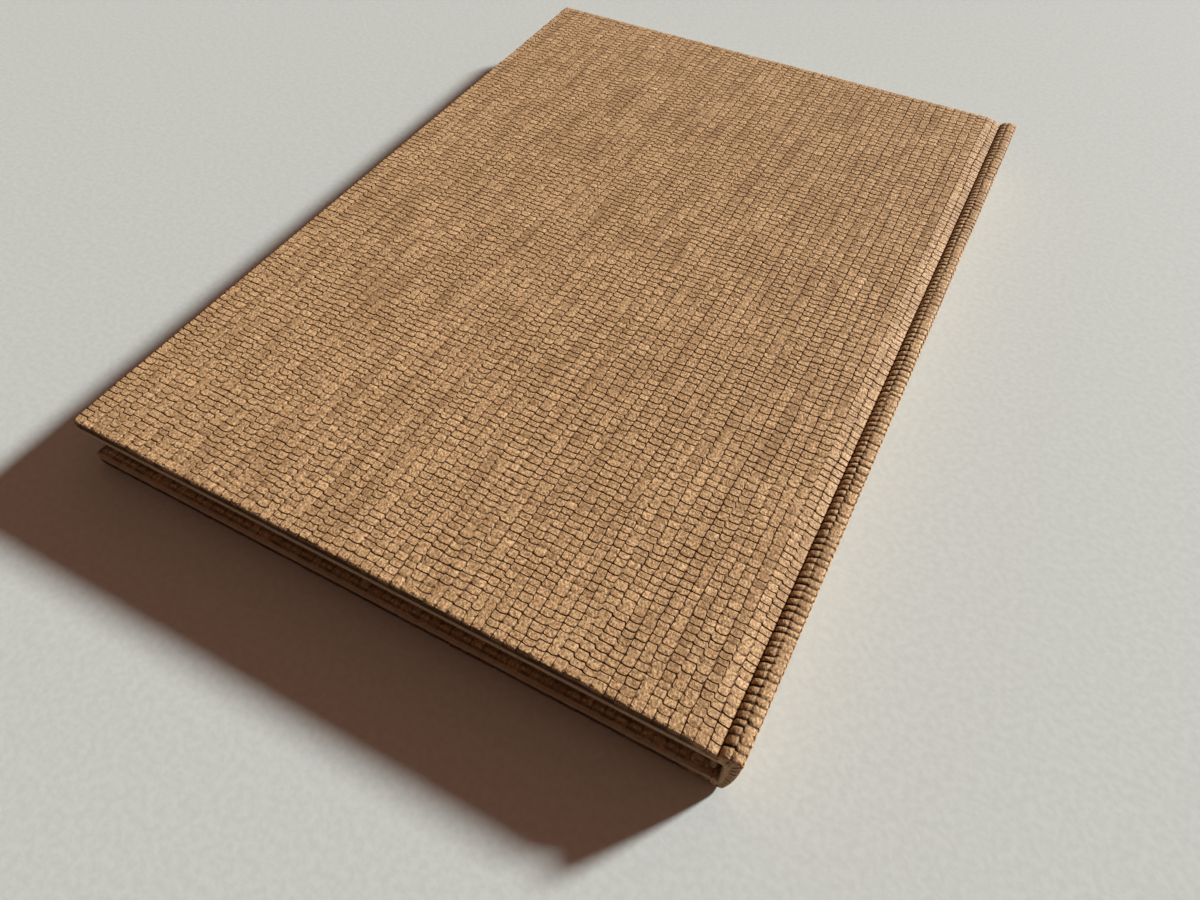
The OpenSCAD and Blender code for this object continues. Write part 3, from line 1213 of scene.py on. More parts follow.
@dataclass
class TextBlock:
    """The leaves of the book, in folded sections whose edges show as fine layers."""

    layers: int = 48
    layers_in_section: int = 12
    points_a_side: int = 14
    leaf_gap: float = 0.05
    section_gap: float = 0.14
    fold_round: float = 0.22
    uneven: float = 0.04
    wobble: float = 0.01
    layer_faces: tuple[float, float] = (0.2, 0.8)
    sharp_deg: float = 60.0
    seed: int = 7

    def build(self) -> bpy.types.Object:
        """Builds the block as one closed solid.

        Returns:
            The block's object.
        """
        low, high = in_case("text_block")
        rng = np.random.default_rng(self.seed)
        pitch = (high[2] - low[2]) / self.layers
        rings = []
        for number in range(self.layers + 1):
            place = number % self.layers_in_section
            gap = self.section_gap if place == 0 else self.leaf_gap
            top = high[2] - number * pitch
            rings.append(self._ring((low, high), top, (gap, gap), rng))
            if number == self.layers:
                break
            middle = 2 * (place + 0.5) / self.layers_in_section - 1
            folded = self.fold_round * (1 - math.sqrt(1 - middle * middle))
            own = rng.uniform(0, self.uneven)
            for share in self.layer_faces:
                rings.append(self._ring((low, high), top - share * pitch, (own, own + folded), rng))
        stack = np.stack(rings)
        skin = Skin()
        skin.grid(np.concatenate([stack, stack[:, :1]], axis=1))
        skin.polygon(stack[0])
        skin.polygon(stack[-1])
        made = skin.build("text_block", self.sharp_deg)
        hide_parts("text_block")
        return made

    def _ring(
        self,
        box: tuple[np.ndarray, np.ndarray],
        level: float,
        insets: tuple[float, float],
        rng: np.random.Generator,
    ) -> np.ndarray:
        """Gives one outline of the leaves, a little uneven.

        Args:
            box: The block's lowest and highest (u, v, h).
            level: The outline's h.
            insets: How far it lies in from the three cut edges, and from the spine.
            rng: Source of the unevenness.

        Returns:
            The outline's points.
        """
        low, high = box
        inset, spine_inset = insets
        share = np.linspace(0, 1, self.points_a_side, endpoint=False)
        left, right = low[0] + inset, high[0] - spine_inset
        tail, head = low[1] + inset, high[1] - inset
        corners = np.array([(left, tail), (right, tail), (right, head), (left, head), (left, tail)])
        sides = [a + (b - a) * share[:, None] for a, b in zip(corners, corners[1:])]
        ring = np.concatenate(sides)
        inwards = np.sign((low[:2] + high[:2]) / 2 - ring) * rng.uniform(0, self.wobble, ring.shape)
        return np.concatenate([ring + inwards, np.full((len(ring), 1), level)], axis=-1)


class End(Enum):
    """An end of the spine."""

    HEAD = "head"
    TAIL = "tail"


@dataclass
class EndBand:
    """A band of thread-covered cord at one end of the block's spine, with its tape."""

    end: End
    ribs: int = 24
    steps_a_rib: int = 6
    arc_steps: int = 10
    tape_lines: int = 8
    rib_depth: float = 0.11

    def build(self) -> bpy.types.Object:
        """Builds the ribbed bead and the tape.

        Returns:
            The band's object.
        """
        name = f"{self.end.value}_band"
        low, high = in_case("head_band")
        _, block_high = in_case("text_block")
        radius = (high[0] - low[0]) / 2
        middle, base, top = low[0] + radius, block_high[1], high[1]
        angle = np.linspace(0, math.pi, self.arc_steps)
        share = np.linspace(0, 1, self.ribs * self.steps_a_rib + 1)
        rib = share * self.ribs
        swell = 1 - self.rib_depth * (1 - np.abs(np.sin(math.pi * rib))) ** 2
        arc_u = middle + radius * np.cos(angle) * swell[:, None]
        arc_v = top - radius + radius * np.sin(angle) * swell[:, None]
        foot_u = middle + radius * np.array([-1.0, 1.0]) * swell[:, None]
        u = np.concatenate([arc_u, foot_u], axis=1)
        v = np.concatenate([arc_v, np.full(foot_u.shape, base)], axis=1)
        h = np.broadcast_to((high[2] + (low[2] - high[2]) * share)[:, None], u.shape)
        bead = np.stack([u, v, h], axis=-1)
        ring = np.concatenate([bead, bead[:, :1]], axis=1)
        cell = np.broadcast_to(np.stack([rib, 0 * rib], axis=-1)[:, None], (*ring.shape[:2], 2))
        gap = (1 - np.abs(np.sin(math.pi * rib)))[:, None]
        tape = self._turn_line(np.linspace(low[1], base, self.tape_lines))
        skin = Skin()
        skin.grid(self._turn(ring), Marks(gap, 0.0, 0.0, 0.0, cell, cell))
        skin.polygon(self._turn(bead[0]))
        skin.polygon(self._turn(bead[-1]))
        skin.slab(np.array([block_high[0], high[0]]), tape, low[2], high[2])
        made = skin.build(name, SHARP_DEG)
        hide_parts(name)
        return made

    def _turn(self, points: np.ndarray) -> np.ndarray:
        """Turns points of the head's band over to the tail, for a tail band.

        Args:
            points: Any array whose last axis is (u, v, h) in millimetres.

        Returns:
            The points, turned over or as they were.
        """
        if self.end is End.HEAD:
            return points
        return np.stack([points[..., 0], CASE.height - points[..., 1], points[..., 2]], axis=-1)

    def _turn_line(self, v: np.ndarray) -> np.ndarray:
        """Turns places along the book over to the tail, for a tail band."""
        return v if self.end is End.HEAD else CASE.height - v


def screen(red: int, green: int, blue: int) -> tuple[float, float, float, float]:
    """Turns a colour as it shows on a screen, from 0 to 255, into a linear one.

    Args:
        red: The share of red.
        green: The share of green.
        blue: The share of blue.

    Returns:
        The linear colour, with an alpha of 1.
    """
    shares = (value / 255 for value in (red, green, blue))
    linear = (s / 12.92 if s <= 0.04045 else ((s + 0.055) / 1.055) ** 2.4 for s in shares)
    return (*linear, 1.0)


Socket = bpy.types.NodeSocket
Value = Socket | float
Colour = tuple[float, float, float, float]


@dataclass(frozen=True)
class Stain:
    """Where a pattern's value starts to tint a surface, where it is full, and how strong it is there."""

    start: float
    full: float
    strength: float


class Graph:
    """Adds nodes to one node tree and joins them."""

    def __init__(self, tree: bpy.types.NodeTree) -> None:
        """Starts on a tree.

        Args:
            tree: The tree that takes the nodes.
        """
        self.tree = tree

    def node(self, kind: str, **settings: object) -> bpy.types.Node:
        """Adds a node of a kind and sets its properties.

        Args:
            kind: The node's type name.
            settings: The properties by name.

        Returns:
            The node.
        """
        made = self.tree.nodes.new(kind)
        for name, value in settings.items():
            setattr(made, name, value)
        return made

    def feed(self, socket: Socket, value: object) -> None:
        """Links a value to a socket, or sets the socket to it.

        Args:
            socket: The input that takes it.
            value: Another node's output, or a plain value.
        """
        if isinstance(value, Socket):
            self.tree.links.new(value, socket)
        else:
            socket.default_value = value

    def math(self, operation: str, *values: Value, clamp: bool = False) -> Socket:
        """Works out one step of arithmetic.

        Args:
            operation: The step's type name.
            values: What goes into it.
            clamp: Whether it stays in 0..1.

        Returns:
            The socket that gives the result.
        """
        made = self.node("ShaderNodeMath", operation=operation, use_clamp=clamp)
        for socket, value in zip(made.inputs, values):
            self.feed(socket, value)
        return made.outputs[0]

    def mix(self, share: Value, first: object, second: object) -> Socket:
        """Mixes two colours, the second one by a share.

        Args:
            share: From 0 for the first to 1 for the second.
            first: A colour.
            second: A colour.

        Returns:
            The socket that gives the result.
        """
        made = self.node("ShaderNodeMix", data_type="RGBA")
        for place, value in ((0, share), (6, first), (7, second)):
            self.feed(made.inputs[place], value)
        return made.outputs[2]

    def span(self, value: Value, low: float, high: float, to: tuple[float, float] = (0, 1)) -> Socket:
        """Maps a value from low..high to another span, and holds it there.

        Args:
            value: The value.
            low: Where the span starts.
            high: Where it ends.
            to: The other span.

        Returns:
            The socket that gives the result.
        """
        made = self.node("ShaderNodeMapRange", clamp=True)
        for socket, given in zip(made.inputs, (value, low, high, *to)):
            self.feed(socket, given)
        return made.outputs[0]

    def stain(self, tone: Socket | Colour, value: Value, stain: Stain, colour: Colour) -> Socket:
        """Tints a colour with another one where a value is in the stain's span.

        Args:
            tone: The colour to tint.
            value: The value.
            stain: The span and the strength.
            colour: The colour that tints it.

        Returns:
            The socket that gives the result.
        """
        share = self.span(value, stain.start, stain.full, (0, stain.strength))
        return self.mix(share, tone, colour)

    def half_and_half(self, first: Value, second: Value) -> Socket:
        """Gives the mean of two numbers."""
        return self.math("MULTIPLY", self.math("ADD", first, second), 0.5)

    def noise(self, place: Socket, scale: Value, detail: float = 2) -> Socket:
        """Gives smooth noise from 0 to 1, with scale in changes a metre.

        Args:
            place: Where it is read.
            scale: Its fineness.
            detail: How many finer layers it has.

        Returns:
            The socket that gives the result.
        """
        made = self.node("ShaderNodeTexNoise")
        self.feed(made.inputs["Vector"], place)
        self.feed(made.inputs["Scale"], scale)
        made.inputs["Detail"].default_value = detail
        return made.outputs["Fac"]

    def mark(self, name: str) -> Socket:
        """Reads one of the vectors that the meshes carry."""
        return self.node("ShaderNodeAttribute", attribute_name=name).outputs["Vector"]

    def parts(self, vector: Socket) -> list[Socket]:
        """Splits a vector into its three numbers.

        Args:
            vector: The vector.

        Returns:
            A socket for each number.
        """
        made = self.node("ShaderNodeSeparateXYZ")
        self.feed(made.inputs[0], vector)
        return list(made.outputs)

    def vector(self, *values: Value) -> Socket:
        """Joins three numbers into a vector.

        Args:
            values: The numbers.

        Returns:
            The socket that gives the result.
        """
        made = self.node("ShaderNodeCombineXYZ")
        for socket, value in zip(made.inputs, values):
            self.feed(socket, value)
        return made.outputs[0]

    def stretch(self, vector: Socket, scale: object) -> Socket:
        """Multiplies a vector by another one.

        Args:
            vector: The vector.
            scale: What each of its numbers is multiplied by.

        Returns:
            The socket that gives the result.
        """
        made = self.node("ShaderNodeVectorMath", operation="MULTIPLY")
        self.feed(made.inputs[0], vector)
        self.feed(made.inputs[1], scale)
        return made.outputs[0]

    def bump(self, height: Socket, distance: float, strength: float) -> Socket:
        """Turns a height from 0 to 1 into a normal, with distance in metres.

        Args:
            height: The height.
            distance: How much a height of 1 is.
            strength: Its share, from 0 to 1.

        Returns:
            The socket that gives the result.
        """
        made = self.node("ShaderNodeBump")
        made.inputs["Strength"].default_value = strength
        made.inputs["Distance"].default_value = distance
        self.feed(made.inputs["Height"], height)
        return made.outputs[0]

    def use(self, group: bpy.types.NodeTree, **values: object) -> bpy.types.Node:
        """Places a node group with its inputs given by name.

        Args:
            group: The group.
            values: Its inputs by name.

        Returns:
            The node that holds it.
        """
        made = self.node("ShaderNodeGroup", node_tree=group)
        for name, value in values.items():
            self.feed(made.inputs[name], value)
        return made


FIBRE_DETAIL = 3
CLOUD_SCALE = 0.03
FIBRE_SPAN = (0.3, 0.7)
CLOUD_SPAN = (0.32, 0.68)


def make_fibre_group() -> bpy.types.NodeTree:
    """Makes the effect of pulped fibres in paper and board.

    Returns:
        A group with the inputs Place, Grain in changes a metre and Run, how much longer the fibres are
        along the book, and the outputs Fibre and Cloud, from 0 to 1.
    """
    group = bpy.data.node_groups.new("paper_fibre", "ShaderNodeTree")
    kinds = {"Place": "NodeSocketVector", "Grain": "NodeSocketFloat", "Run": "NodeSocketFloat"}
    for name, kind in kinds.items():
        group.interface.new_socket(name=name, in_out="INPUT", socket_type=kind)
    for name in ("Fibre", "Cloud"):
        group.interface.new_socket(name=name, in_out="OUTPUT", socket_type="NodeSocketFloat")
    graph = Graph(group)
    given = graph.node("NodeGroupInput").outputs
    out = graph.node("NodeGroupOutput")
    along = graph.math("DIVIDE", 1.0, given["Run"])
    place = graph.stretch(given["Place"], graph.vector(1.0, along, 1.0))
    fibre = graph.noise(place, given["Grain"], FIBRE_DETAIL)
    coarse = graph.math("MULTIPLY", given["Grain"], CLOUD_SCALE)
    cloud = graph.noise(given["Place"], coarse, FIBRE_DETAIL)
    graph.feed(out.inputs["Fibre"], graph.span(fibre, *FIBRE_SPAN))
    graph.feed(out.inputs["Cloud"], graph.span(cloud, *CLOUD_SPAN))
    return group


FIBRE = make_fibre_group()


class Place(Enum):
    """What a finish's pattern is tied to."""

    SHEET = "the sheet's own surface, for a piece that bends"
    SOLID = "the solid, for a piece that stays stiff"


@dataclass(frozen=True)
class Finish:
    """A surface finish, made into one material."""

    name: str
    roughness: float

    def material(self) -> bpy.types.Material:
        """Makes the material.

        Returns:
            The material.
        """
        made = bpy.data.materials.new(self.name)
        made.use_nodes = True
        made.node_tree.nodes.clear()
        graph = Graph(made.node_tree)
        shader = graph.node("ShaderNodeBsdfPrincipled")
        output = graph.node("ShaderNodeOutputMaterial")
        graph.feed(shader.inputs["Roughness"], self.roughness)
        self.dress(graph, shader)
        graph.feed(output.inputs["Surface"], shader.outputs[0])
        return made

    def dress(self, graph: Graph, shader: bpy.types.Node) -> None:
        """Feeds the shader's sockets; each kind of finish has its own way."""
        raise NotImplementedError


@dataclass(frozen=True)
class CoveringFinish(Finish):
    """Embossed paper leatherette, lighter on the pillows, with painted shade in its grooves, its cracks and
    the pillows' corners.
    """

    pale: Colour = screen(214, 171, 124)
    deep: Colour = screen(184, 142, 99)
    streak_tone: Colour = screen(132, 96, 63)
    fibre_dark: Colour = screen(126, 92, 60)
    fibre_pale: Colour = screen(226, 190, 146)
    # The next three colours are painted shade: in the grooves, at the pillows' corners and in the cracks.
    groove_shade_tone: Colour = screen(112, 82, 57)
    corner_shade_tone: Colour = screen(84, 58, 38)
    crack_shade_tone: Colour = screen(52, 34, 22)
    pressed: Colour = screen(180, 154, 128)
    dark_fibres: Stain = Stain(0.55, 0.05, 0.75)
    pale_fibres: Stain = Stain(0.5, 0.9, 0.8)
    flecks: Stain = Stain(0.49, 0.37, 0.8)
    streaks: Stain = Stain(0.52, 0.32, 0.5)
    press_lines: Stain = Stain(0.35, 0.65, 0.35)
    fibre_grain: float = 2300.0
    fibre_run: float = 1.5
    fleck_grain: float = 1500.0
    fleck_detail: float = 4
    streak_grain: tuple[float, float, float] = (320.0, 38.0, 0.0)
    streak_detail: float = 3
    line_grain: tuple[float, float, float] = (150.0, 150.0, 150.0)
    line_turns: float = 5.0
    line_edge: float = 0.6
    press_share: float = 0.8
    rim_span: tuple[float, float] = (0.5, 0.78)
    rim_own_full: float = 0.8
    rim_shares: tuple[float, float] = (0.25, 1.0)
    dull_from: float = 0.6
    grain_height: float = 0.00014
    grain_strength: float = 0.9
    fibre_height: float = 0.5
    fleck_height: float = 0.8
    specular: float = 0.12

    def dress(self, graph: Graph, shader: bpy.types.Node) -> None:
        """Colours the pillows and pressed edges, paints shade into the lines and the pillows' corners, and
        adds the fine grain.

        Args:
            graph: The material's nodes.
            shader: The shader that takes the colour, the roughness and the normal.
        """
        groove, crack, press = graph.parts(graph.mark("relief"))
        column, row, over = graph.parts(graph.mark("cell"))
        sheet = graph.mark("sheet")
        paper = graph.use(FIBRE, Place=sheet, Grain=self.fibre_grain, Run=self.fibre_run).outputs
        fleck = graph.noise(sheet, self.fleck_grain, self.fleck_detail)
        streak = graph.noise(graph.stretch(sheet, self.streak_grain), 1.0, self.streak_detail)
        own, corner_own = self._per_pillow(graph, column, row)
        tone = graph.mix(graph.half_and_half(own, paper["Cloud"]), self.deep, self.pale)
        tone = graph.stain(tone, paper["Fibre"], self.dark_fibres, self.fibre_dark)
        tone = graph.stain(tone, paper["Fibre"], self.pale_fibres, self.fibre_pale)
        tone = graph.stain(tone, fleck, self.flecks, self.fibre_dark)
        tone = graph.stain(tone, streak, self.streaks, self.streak_tone)
        # Painted shade in the corners that the pillows' rounded outlines leave, stronger on some pillows
        # than others; the same corners are also lowered in the bump.
        rim = self._rim(graph, column, row)
        rim_own = graph.span(corner_own, 0.0, self.rim_own_full, self.rim_shares)
        tone = graph.mix(graph.math("MULTIPLY", rim, rim_own), tone, self.corner_shade_tone)
        # Painted shade in the grooves and cracks, and on the edges' bands that the meshes mark as grooves
        # and cracks.
        tone = graph.mix(graph.math("POWER", groove, self.line_edge), tone, self.groove_shade_tone)
        tone = graph.mix(graph.math("POWER", crack, self.line_edge), tone, self.crack_shade_tone)
        down, along, _ = graph.parts(graph.stretch(sheet, self.line_grain))
        lines = graph.noise(graph.vector(graph.math("MULTIPLY", over, self.line_turns), down, along), 1.0)
        smooth = graph.stain(self.pressed, lines, self.press_lines, self.fibre_dark)
        tone = graph.mix(graph.math("MULTIPLY", press, self.press_share), tone, smooth)
        graph.feed(shader.inputs["Base Color"], tone)
        sunk = graph.math("MAXIMUM", groove, crack)
        dull = graph.span(sunk, 0.0, self.dull_from, (self.roughness, 1.0))
        graph.feed(shader.inputs["Roughness"], dull)
        shader.inputs["Specular IOR Level"].default_value = self.specular
        flecked = graph.math("MULTIPLY", fleck, self.fleck_height)
        fine = graph.math("MULTIPLY_ADD", paper["Fibre"], self.fibre_height, flecked)
        fine = graph.math("MULTIPLY_ADD", lines, press, fine)
        fine = graph.math("SUBTRACT", fine, rim)
        graph.feed(shader.inputs["Normal"], graph.bump(fine, self.grain_height, self.grain_strength))

    @staticmethod
    def _per_pillow(graph: Graph, column: Value, row: Value) -> tuple[Socket, Socket]:
        """Draws two random numbers for each pillow.

        Args:
            graph: The material's nodes.
            column: The pillow's column, with the place inside it as a fraction.
            row: The pillow's row, likewise.

        Returns:
            The two numbers, from 0 to 1.
        """
        corner = graph.vector(graph.math("FLOOR", column), graph.math("FLOOR", row), 0.0)
        drawn = graph.node("ShaderNodeTexWhiteNoise", noise_dimensions="3D")
        graph.feed(drawn.inputs["Vector"], corner)
        return drawn.outputs["Value"], graph.parts(drawn.outputs["Color"])[0]

    def _rim(self, graph: Graph, column: Value, row: Value) -> Socket:
        """Gives the corners that a pillow's rounded outline leaves.

        Args:
            graph: The material's nodes.
            column: The pillow's column, with the place inside it as a fraction.
            row: The pillow's row, likewise.

        Returns:
            The corners' strength, from 0 to 1.
        """
        shares = (graph.math("FRACT", place) for place in (column, row))
        sides = [graph.math("MULTIPLY_ADD", share, 2.0, -1.0) for share in shares]
        return graph.span(graph.math("ABSOLUTE", graph.math("MULTIPLY", *sides)), *self.rim_span)


@dataclass(frozen=True)
class PaperFinish(Finish):
    """Paper or board, uncoated, with its fibres showing a little."""

    pale: Colour
    deep: Colour
    grain: float
    run: float = 1.0
    relief: float = 0.00003
    relief_strength: float = 0.6
    place: Place = Place.SOLID
    layered: float = 1.0

    def dress(self, graph: Graph, shader: bpy.types.Node) -> None:
        """Mottles the colour with fibres and gives them a slight relief.

        Args:
            graph: The material's nodes.
            shader: The shader that takes the colour and the normal.
        """
        if self.place is Place.SHEET:
            place = graph.mark("sheet")
        else:
            place = graph.node("ShaderNodeTexCoord").outputs["Object"]
        place = graph.stretch(place, (1.0, 1.0, self.layered))
        paper = graph.use(FIBRE, Place=place, Grain=self.grain, Run=self.run).outputs
        both = graph.half_and_half(paper["Fibre"], paper["Cloud"])
        graph.feed(shader.inputs["Base Color"], graph.mix(both, self.deep, self.pale))
        graph.feed(shader.inputs["Normal"], graph.bump(paper["Fibre"], self.relief, self.relief_strength))


@dataclass(frozen=True)
class MullFinish(Finish):
    """Open starched cotton, set in glue."""

    thread: Colour = screen(226, 221, 204)
    glue: Colour = screen(186, 176, 148)
    pitch: float = 0.0009
    thread_span: tuple[float, float] = (0.3, 0.9)
    relief: float = 0.0001
    relief_strength: float = 0.7

    def dress(self, graph: Graph, shader: bpy.types.Node) -> None:
        """Weaves the threads over the glue.

        Args:
            graph: The material's nodes.
            shader: The shader that takes the colour and the normal.
        """
        place = graph.parts(graph.node("ShaderNodeTexCoord").outputs["Object"])
        turns = 2 * math.pi / self.pitch
        waves = [graph.math("SINE", graph.math("MULTIPLY", side, turns)) for side in place]
        highest = graph.math("MAXIMUM", graph.math("MAXIMUM", *waves[:2]), waves[2])
        woven = graph.span(highest, *self.thread_span)
        graph.feed(shader.inputs["Base Color"], graph.mix(woven, self.glue, self.thread))
        graph.feed(shader.inputs["Normal"], graph.bump(woven, self.relief, self.relief_strength))


@dataclass(frozen=True)
class ThreadFinish(Finish):
    """Thread wound over a cord, two colours by turns."""

    first: Colour = screen(112, 76, 50)
    second: Colour = screen(150, 110, 76)
    shade: Colour = screen(60, 42, 30)
    gap_edge: float = 3.0
    strand_run: tuple[float, float, float] = (1.0, 1.0, 4.0)
    strand_grain: float = 2500.0
    relief: float = 0.00005
    relief_strength: float = 0.6

    def dress(self, graph: Graph, shader: bpy.types.Node) -> None:
        """Takes turns between the colours and darkens the gaps.

        Args:
            graph: The material's nodes.
            shader: The shader that takes the colour and the normal.
        """
        gap, _, _ = graph.parts(graph.mark("relief"))
        turn, _, _ = graph.parts(graph.mark("cell"))
        odd = graph.math("MODULO", graph.math("FLOOR", turn), 2.0)
        tone = graph.mix(odd, self.first, self.second)
        strand = graph.node("ShaderNodeTexCoord").outputs["Object"]
        fine = graph.noise(graph.stretch(strand, self.strand_run), self.strand_grain)
        tone = graph.mix(graph.math("POWER", gap, self.gap_edge), tone, self.shade)
        graph.feed(shader.inputs["Base Color"], tone)
        graph.feed(shader.inputs["Normal"], graph.bump(fine, self.relief, self.relief_strength))


@dataclass(frozen=True)
class TableFinish(Finish):
    """A plain pale floor with a hardly visible grain."""

    pale: Colour = screen(200, 201, 195)
    deep: Colour = screen(193, 194, 188)
    grain: float = 700.0
    detail: float = 3
    speckle_span: tuple[float, float] = (0.35, 0.65)
    relief: float = 0.000015
    relief_strength: float = 0.5
    specular: float = 0.15

    def dress(self, graph: Graph, shader: bpy.types.Node) -> None:
        """Gives the floor its faint speckle.

        Args:
            graph: The material's nodes.
            shader: The shader that takes the colour and the normal.
        """
        place = graph.node("ShaderNodeTexCoord").outputs["Object"]
        speckle = graph.span(graph.noise(place, self.grain, self.detail), *self.speckle_span)
        graph.feed(shader.inputs["Base Color"], graph.mix(speckle, self.deep, self.pale))
        graph.feed(shader.inputs["Normal"], graph.bump(speckle, self.relief, self.relief_strength))
        shader.inputs["Specular IOR Level"].default_value = self.specular


COVERING = CoveringFinish("embossed_covering", 0.55)
PAGES = PaperFinish(
    "pages", 0.8, pale=screen(226, 218, 198), deep=screen(198, 187, 162), grain=900.0, layered=9.0
)
ENDPAPER = PaperFinish(
    "endpaper", 0.8, pale=screen(229, 222, 205), deep=screen(221, 213, 194), grain=1500.0, place=Place.SHEET
)
GREYBOARD = PaperFinish(
    "greyboard", 0.85, pale=screen(170, 160, 144), deep=screen(134, 124, 108), grain=1100.0, relief=0.0001
)
KRAFT = PaperFinish(
    "kraft_liner", 0.75, pale=screen(190, 160, 122), deep=screen(164, 134, 98), grain=1300.0, run=3.0
)
MULL = MullFinish("mull", 0.85)
THREAD = ThreadFinish("thread", 0.6)
TABLE = TableFinish("table_top", 0.8)


BOARD_SEEDS = {Side.FRONT: 31, Side.BACK: 47}


@dataclass
class Journal:
    """The whole book: its case, its endpapers and its block."""

    board_columns: int = 58
    joint_columns: int = 2
    spine_columns: int = 10
    groove_width: float = 4.4
    groove_depth: float = 1.15
    slope_points: int = 6
    slope_bow: float = 0.25
    foot: tuple[float, float] = (0.2, 0.22)
    joint_marks: tuple[float, ...] = (2.25,)
    ridge_columns: tuple[float, float] = (2.45, 4.85)
    bend: tuple[float, float] = (151.4, 149.0)
    spine_line: tuple[tuple[float, float], ...] = (
        (4.60, -1.37), (4.40, -0.90), (3.85, -0.42), (3.10, -0.15), (2.30, -0.04), (1.00, -0.05),
        (0.30, -0.30), (0.02, -0.95), (0.16, -1.90), (0.31, -4.80), (0.54, -7.50), (1.06, -11.0),
        (1.80, -14.0), (2.40, -14.9), (3.00, -15.25), (3.60, -15.2), (4.20, -14.75), (4.60, -13.93),
    )
    slots: dict[str, bpy.types.Material] = field(default_factory=dict)

    def __post_init__(self) -> None:
        """Lays the embossed pattern out over the whole case."""
        ends = (self.board_columns, self.board_columns + self.joint_columns)
        total = 2 * ends[1] + self.spine_columns
        straight = (0, *ends, *(total - place for place in reversed(ends)), total)
        ridges = (ends[1], total - 1 - ends[1])
        self.emboss = Emboss(total, straight, ridges)
        self.first_joint, self.first_spine = ends

    def finish_as(self, made: bpy.types.Object, slot: str, finish: Finish) -> bpy.types.Object:
        """Gives a piece its finish.

        Args:
            made: The piece.
            slot: Not used.
            finish: Its finish.

        Returns:
            The same piece.
        """
        if finish.name not in self.slots:
            self.slots[finish.name] = finish.material()
        made.data.materials.clear()
        made.data.materials.append(self.slots[finish.name])
        "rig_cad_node" not in made
        log.info("%s is finished in %s", made.name, finish.name)
        return made

    def joint_outline(self) -> Outline:
        """Gives the line down the joint's slope to the crease and up its far flank.

        Returns:
            The line.
        """
        share = np.linspace(0, 1, self.slope_points)
        fall = (1 - self.slope_bow) * share + self.slope_bow * share * share
        line = zip(CASE.crease + self.groove_width * (share - 1), -self.groove_depth * fall)
        foot = (CASE.crease + self.foot[0], -self.groove_depth - self.foot[1])
        return Outline([*line, foot])

    def build_cover(self, side: Side) -> None:
        """Builds one cover: the covering over its board, its turn-ins and its joint.

        Args:
            side: The cover to build.
        """
        body = f"{side.value}_cover"
        emboss = self.emboss if side is Side.FRONT else self.emboss.turned()
        end = CASE.crease - self.groove_width
        board = CoveredBoard(side, emboss, end, BOARD_SEEDS[side], self.board_columns)
        for made in (board.build(), board.build_turn_ins()):
            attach(self.finish_as(made, "covering", COVERING), body)
        outline = self.joint_outline()
        bounds = (0.0, *self.joint_marks, outline.length)
        joint = WrappedStrip(f"{side.value}_joint", side, emboss, self.first_joint, bounds, outline).build()
        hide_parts(f"{side.value}_covering")
        self.finish_as(joint, "covering", COVERING)
        pasted = Endpaper(side).build_pastedown()
        self.finish_as(pasted, "endpaper", ENDPAPER)
        for made in (joint, pasted):
            places = (np.array([u, CASE.height / 2, 0.0]) for u in self.bend)
            start, end = (tuple(to_row(place, side)) for place in places)
            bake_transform(made)
        self.finish_as(frame["nodes"][f"{side.value}_board"], "board", GREYBOARD)
        self.finish_as(frame["nodes"][f"mull_{side.value}_flange"], "mull", MULL)

    def build_spine(self) -> None:
        """Builds the spine's covering and the board inside it."""
        outline = Outline([(CASE.width - inwards, level) for inwards, level in self.spine_line])
        rest = np.linspace(self.ridge_columns[-1], outline.length, self.spine_columns - 1)
        bounds = (0.0, *self.ridge_columns[:-1], *rest)
        strip = SpineStrip("spine_covering", Side.FRONT, self.emboss, self.first_spine, bounds, outline)
        covering = strip.build()
        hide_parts("spine_covering")
        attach(self.finish_as(covering, "covering", COVERING), "book_block")
        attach(self.finish_as(SpineBoard(strip).build(), "board", GREYBOARD), "book_block")

    def build_block(self) -> None:
        """Builds the leaves with what is glued to their spine."""
        made = [(TextBlock().build(), "pages", PAGES)]
        made += [(Endpaper(side).build_flyleaf(), "endpaper", ENDPAPER) for side in Side]
        made += [(EndBand(end).build(), "band", THREAD) for end in End]
        for piece, slot, finish in made:
            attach(self.finish_as(piece, slot, finish), "book_block")
        self.finish_as(frame["nodes"]["mull_spine"], "mull", MULL)
        self.finish_as(frame["nodes"]["spine_liner"], "liner", KRAFT)


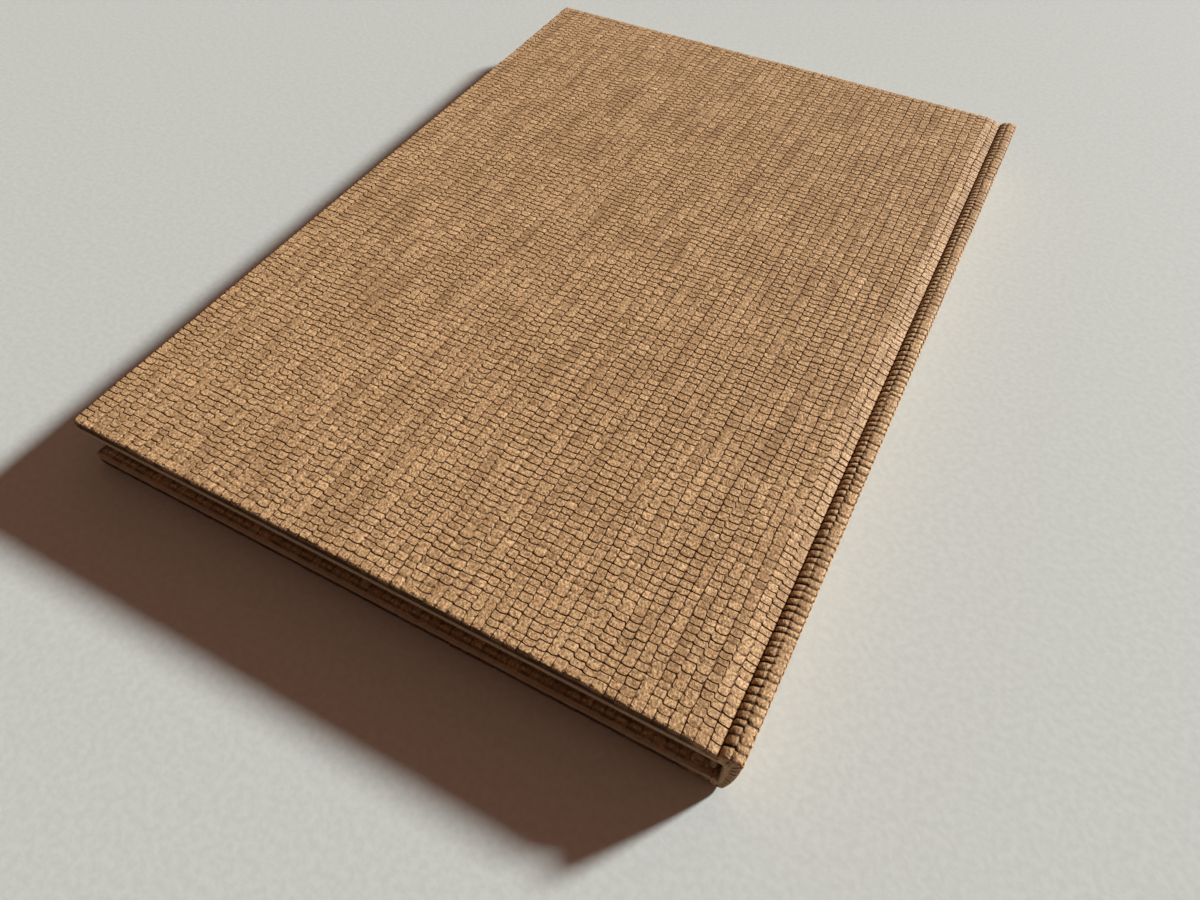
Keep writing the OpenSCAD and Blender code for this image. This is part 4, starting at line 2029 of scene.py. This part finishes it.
@dataclass(frozen=True)
class Studio:
    """The floor, the light and the camera."""

    floor_size: float = 3.0
    floor_drop: float = 0.0001
    sun_towards: tuple[float, float, float] = (20.3, 27.0, 15.3)
    sun_strength: float = 6.3
    sun_spread_deg: float = 7.0
    sun_colour: tuple[float, float, float] = (1.0, 1.08, 1.1)
    fill: Colour = (0.18, 0.088, 0.06, 1.0)
    far_fill: float = 0.05
    near_fill: float = 1.95
    backdrop: Colour = screen(214, 216, 212)
    lens: float = 25.86
    sensor: float = 36.0
    nearest: float = 0.01
    eye: tuple[float, float, float] = (0.07805, -0.1598, 0.1577)
    right: tuple[float, float, float] = (0.88173494, 0.47170542, 0.0061235)
    up: tuple[float, float, float] = (-0.3747055, 0.69241386, 0.61657022)
    back: tuple[float, float, float] = (0.28659952, -0.54594601, 0.78727611)

    def build(self) -> None:
        """Builds the stage."""
        self.lay_floor()
        self.light()
        self.fill_world()
        self.place_camera()
        bpy.context.scene.view_settings.view_transform = "Standard"

    def lay_floor(self) -> None:
        """Lays the floor under the book."""
        half = self.floor_size / 2
        outline = ((-half, -half), (half, -half), (half, half), (-half, half))
        corners = [(x, y, -self.floor_drop) for x, y in outline]
        mesh = bpy.data.meshes.new("floor")
        mesh.from_pydata(corners, [], [(0, 1, 2, 3)])
        mesh.materials.append(TABLE.material())
        floor = bpy.data.objects.new("floor", mesh)
        bpy.context.scene.collection.objects.link(floor)

    def light(self) -> None:
        """Hangs the one soft lamp, low beyond the head and the spine."""
        lamp = bpy.data.lights.new("window", "SUN")
        lamp.energy = self.sun_strength
        lamp.angle = math.radians(self.sun_spread_deg)
        lamp.color = self.sun_colour
        holder = bpy.data.objects.new("window", lamp)
        holder.rotation_euler = Vector(self.sun_towards).to_track_quat("Z", "Y").to_euler()
        bpy.context.scene.collection.objects.link(holder)

    def fill_world(self) -> None:
        """Fills the room with weak warm light and shows a pale backdrop to the camera."""
        world = bpy.data.worlds.new("room")
        world.use_nodes = True
        world.node_tree.nodes.clear()
        graph = Graph(world.node_tree)
        fill, seen = graph.node("ShaderNodeBackground"), graph.node("ShaderNodeBackground")
        fill.inputs["Color"].default_value = self.fill
        seen.inputs["Color"].default_value = self.backdrop
        across, along, _ = graph.parts(graph.node("ShaderNodeTexCoord").outputs["Generated"])
        facing = graph.math("MULTIPLY", graph.math("ADD", across, along), math.sqrt(0.5))
        strength = graph.span(facing, -1.0, 1.0, (self.far_fill, self.near_fill))
        graph.feed(fill.inputs["Strength"], strength)
        path = graph.node("ShaderNodeLightPath").outputs
        direct = graph.math("MAXIMUM", path["Is Camera Ray"], path["Is Glossy Ray"])
        mixed = graph.node("ShaderNodeMixShader")
        graph.feed(mixed.inputs[0], graph.math("MAXIMUM", direct, path["Is Transmission Ray"]))
        graph.feed(mixed.inputs[1], fill.outputs[0])
        graph.feed(mixed.inputs[2], seen.outputs[0])
        graph.feed(graph.node("ShaderNodeOutputWorld").inputs[0], mixed.outputs[0])
        bpy.context.scene.world = world

    def place_camera(self) -> None:
        """Places the camera over the tail end, as the book was seen."""
        camera = bpy.data.cameras.new("camera")
        camera.lens = self.lens
        camera.sensor_width = self.sensor
        camera.clip_start = self.nearest
        holder = bpy.data.objects.new("camera", camera)
        columns = zip(self.right, self.up, self.back, self.eye)
        holder.matrix_world = Matrix([*columns, (0.0, 0.0, 0.0, 1.0)])
        bpy.context.scene.collection.objects.link(holder)
        bpy.context.scene.camera = holder


def main() -> None:
    """Builds the book and the stage, in order."""
    logging.basicConfig(level=logging.INFO, format="%(name)s: %(message)s")
    Studio().build()
    journal = Journal()
    for side in Side:
        journal.build_cover(side)
    journal.build_spine()
    journal.build_block()


if __name__ == "__main__":
    main()
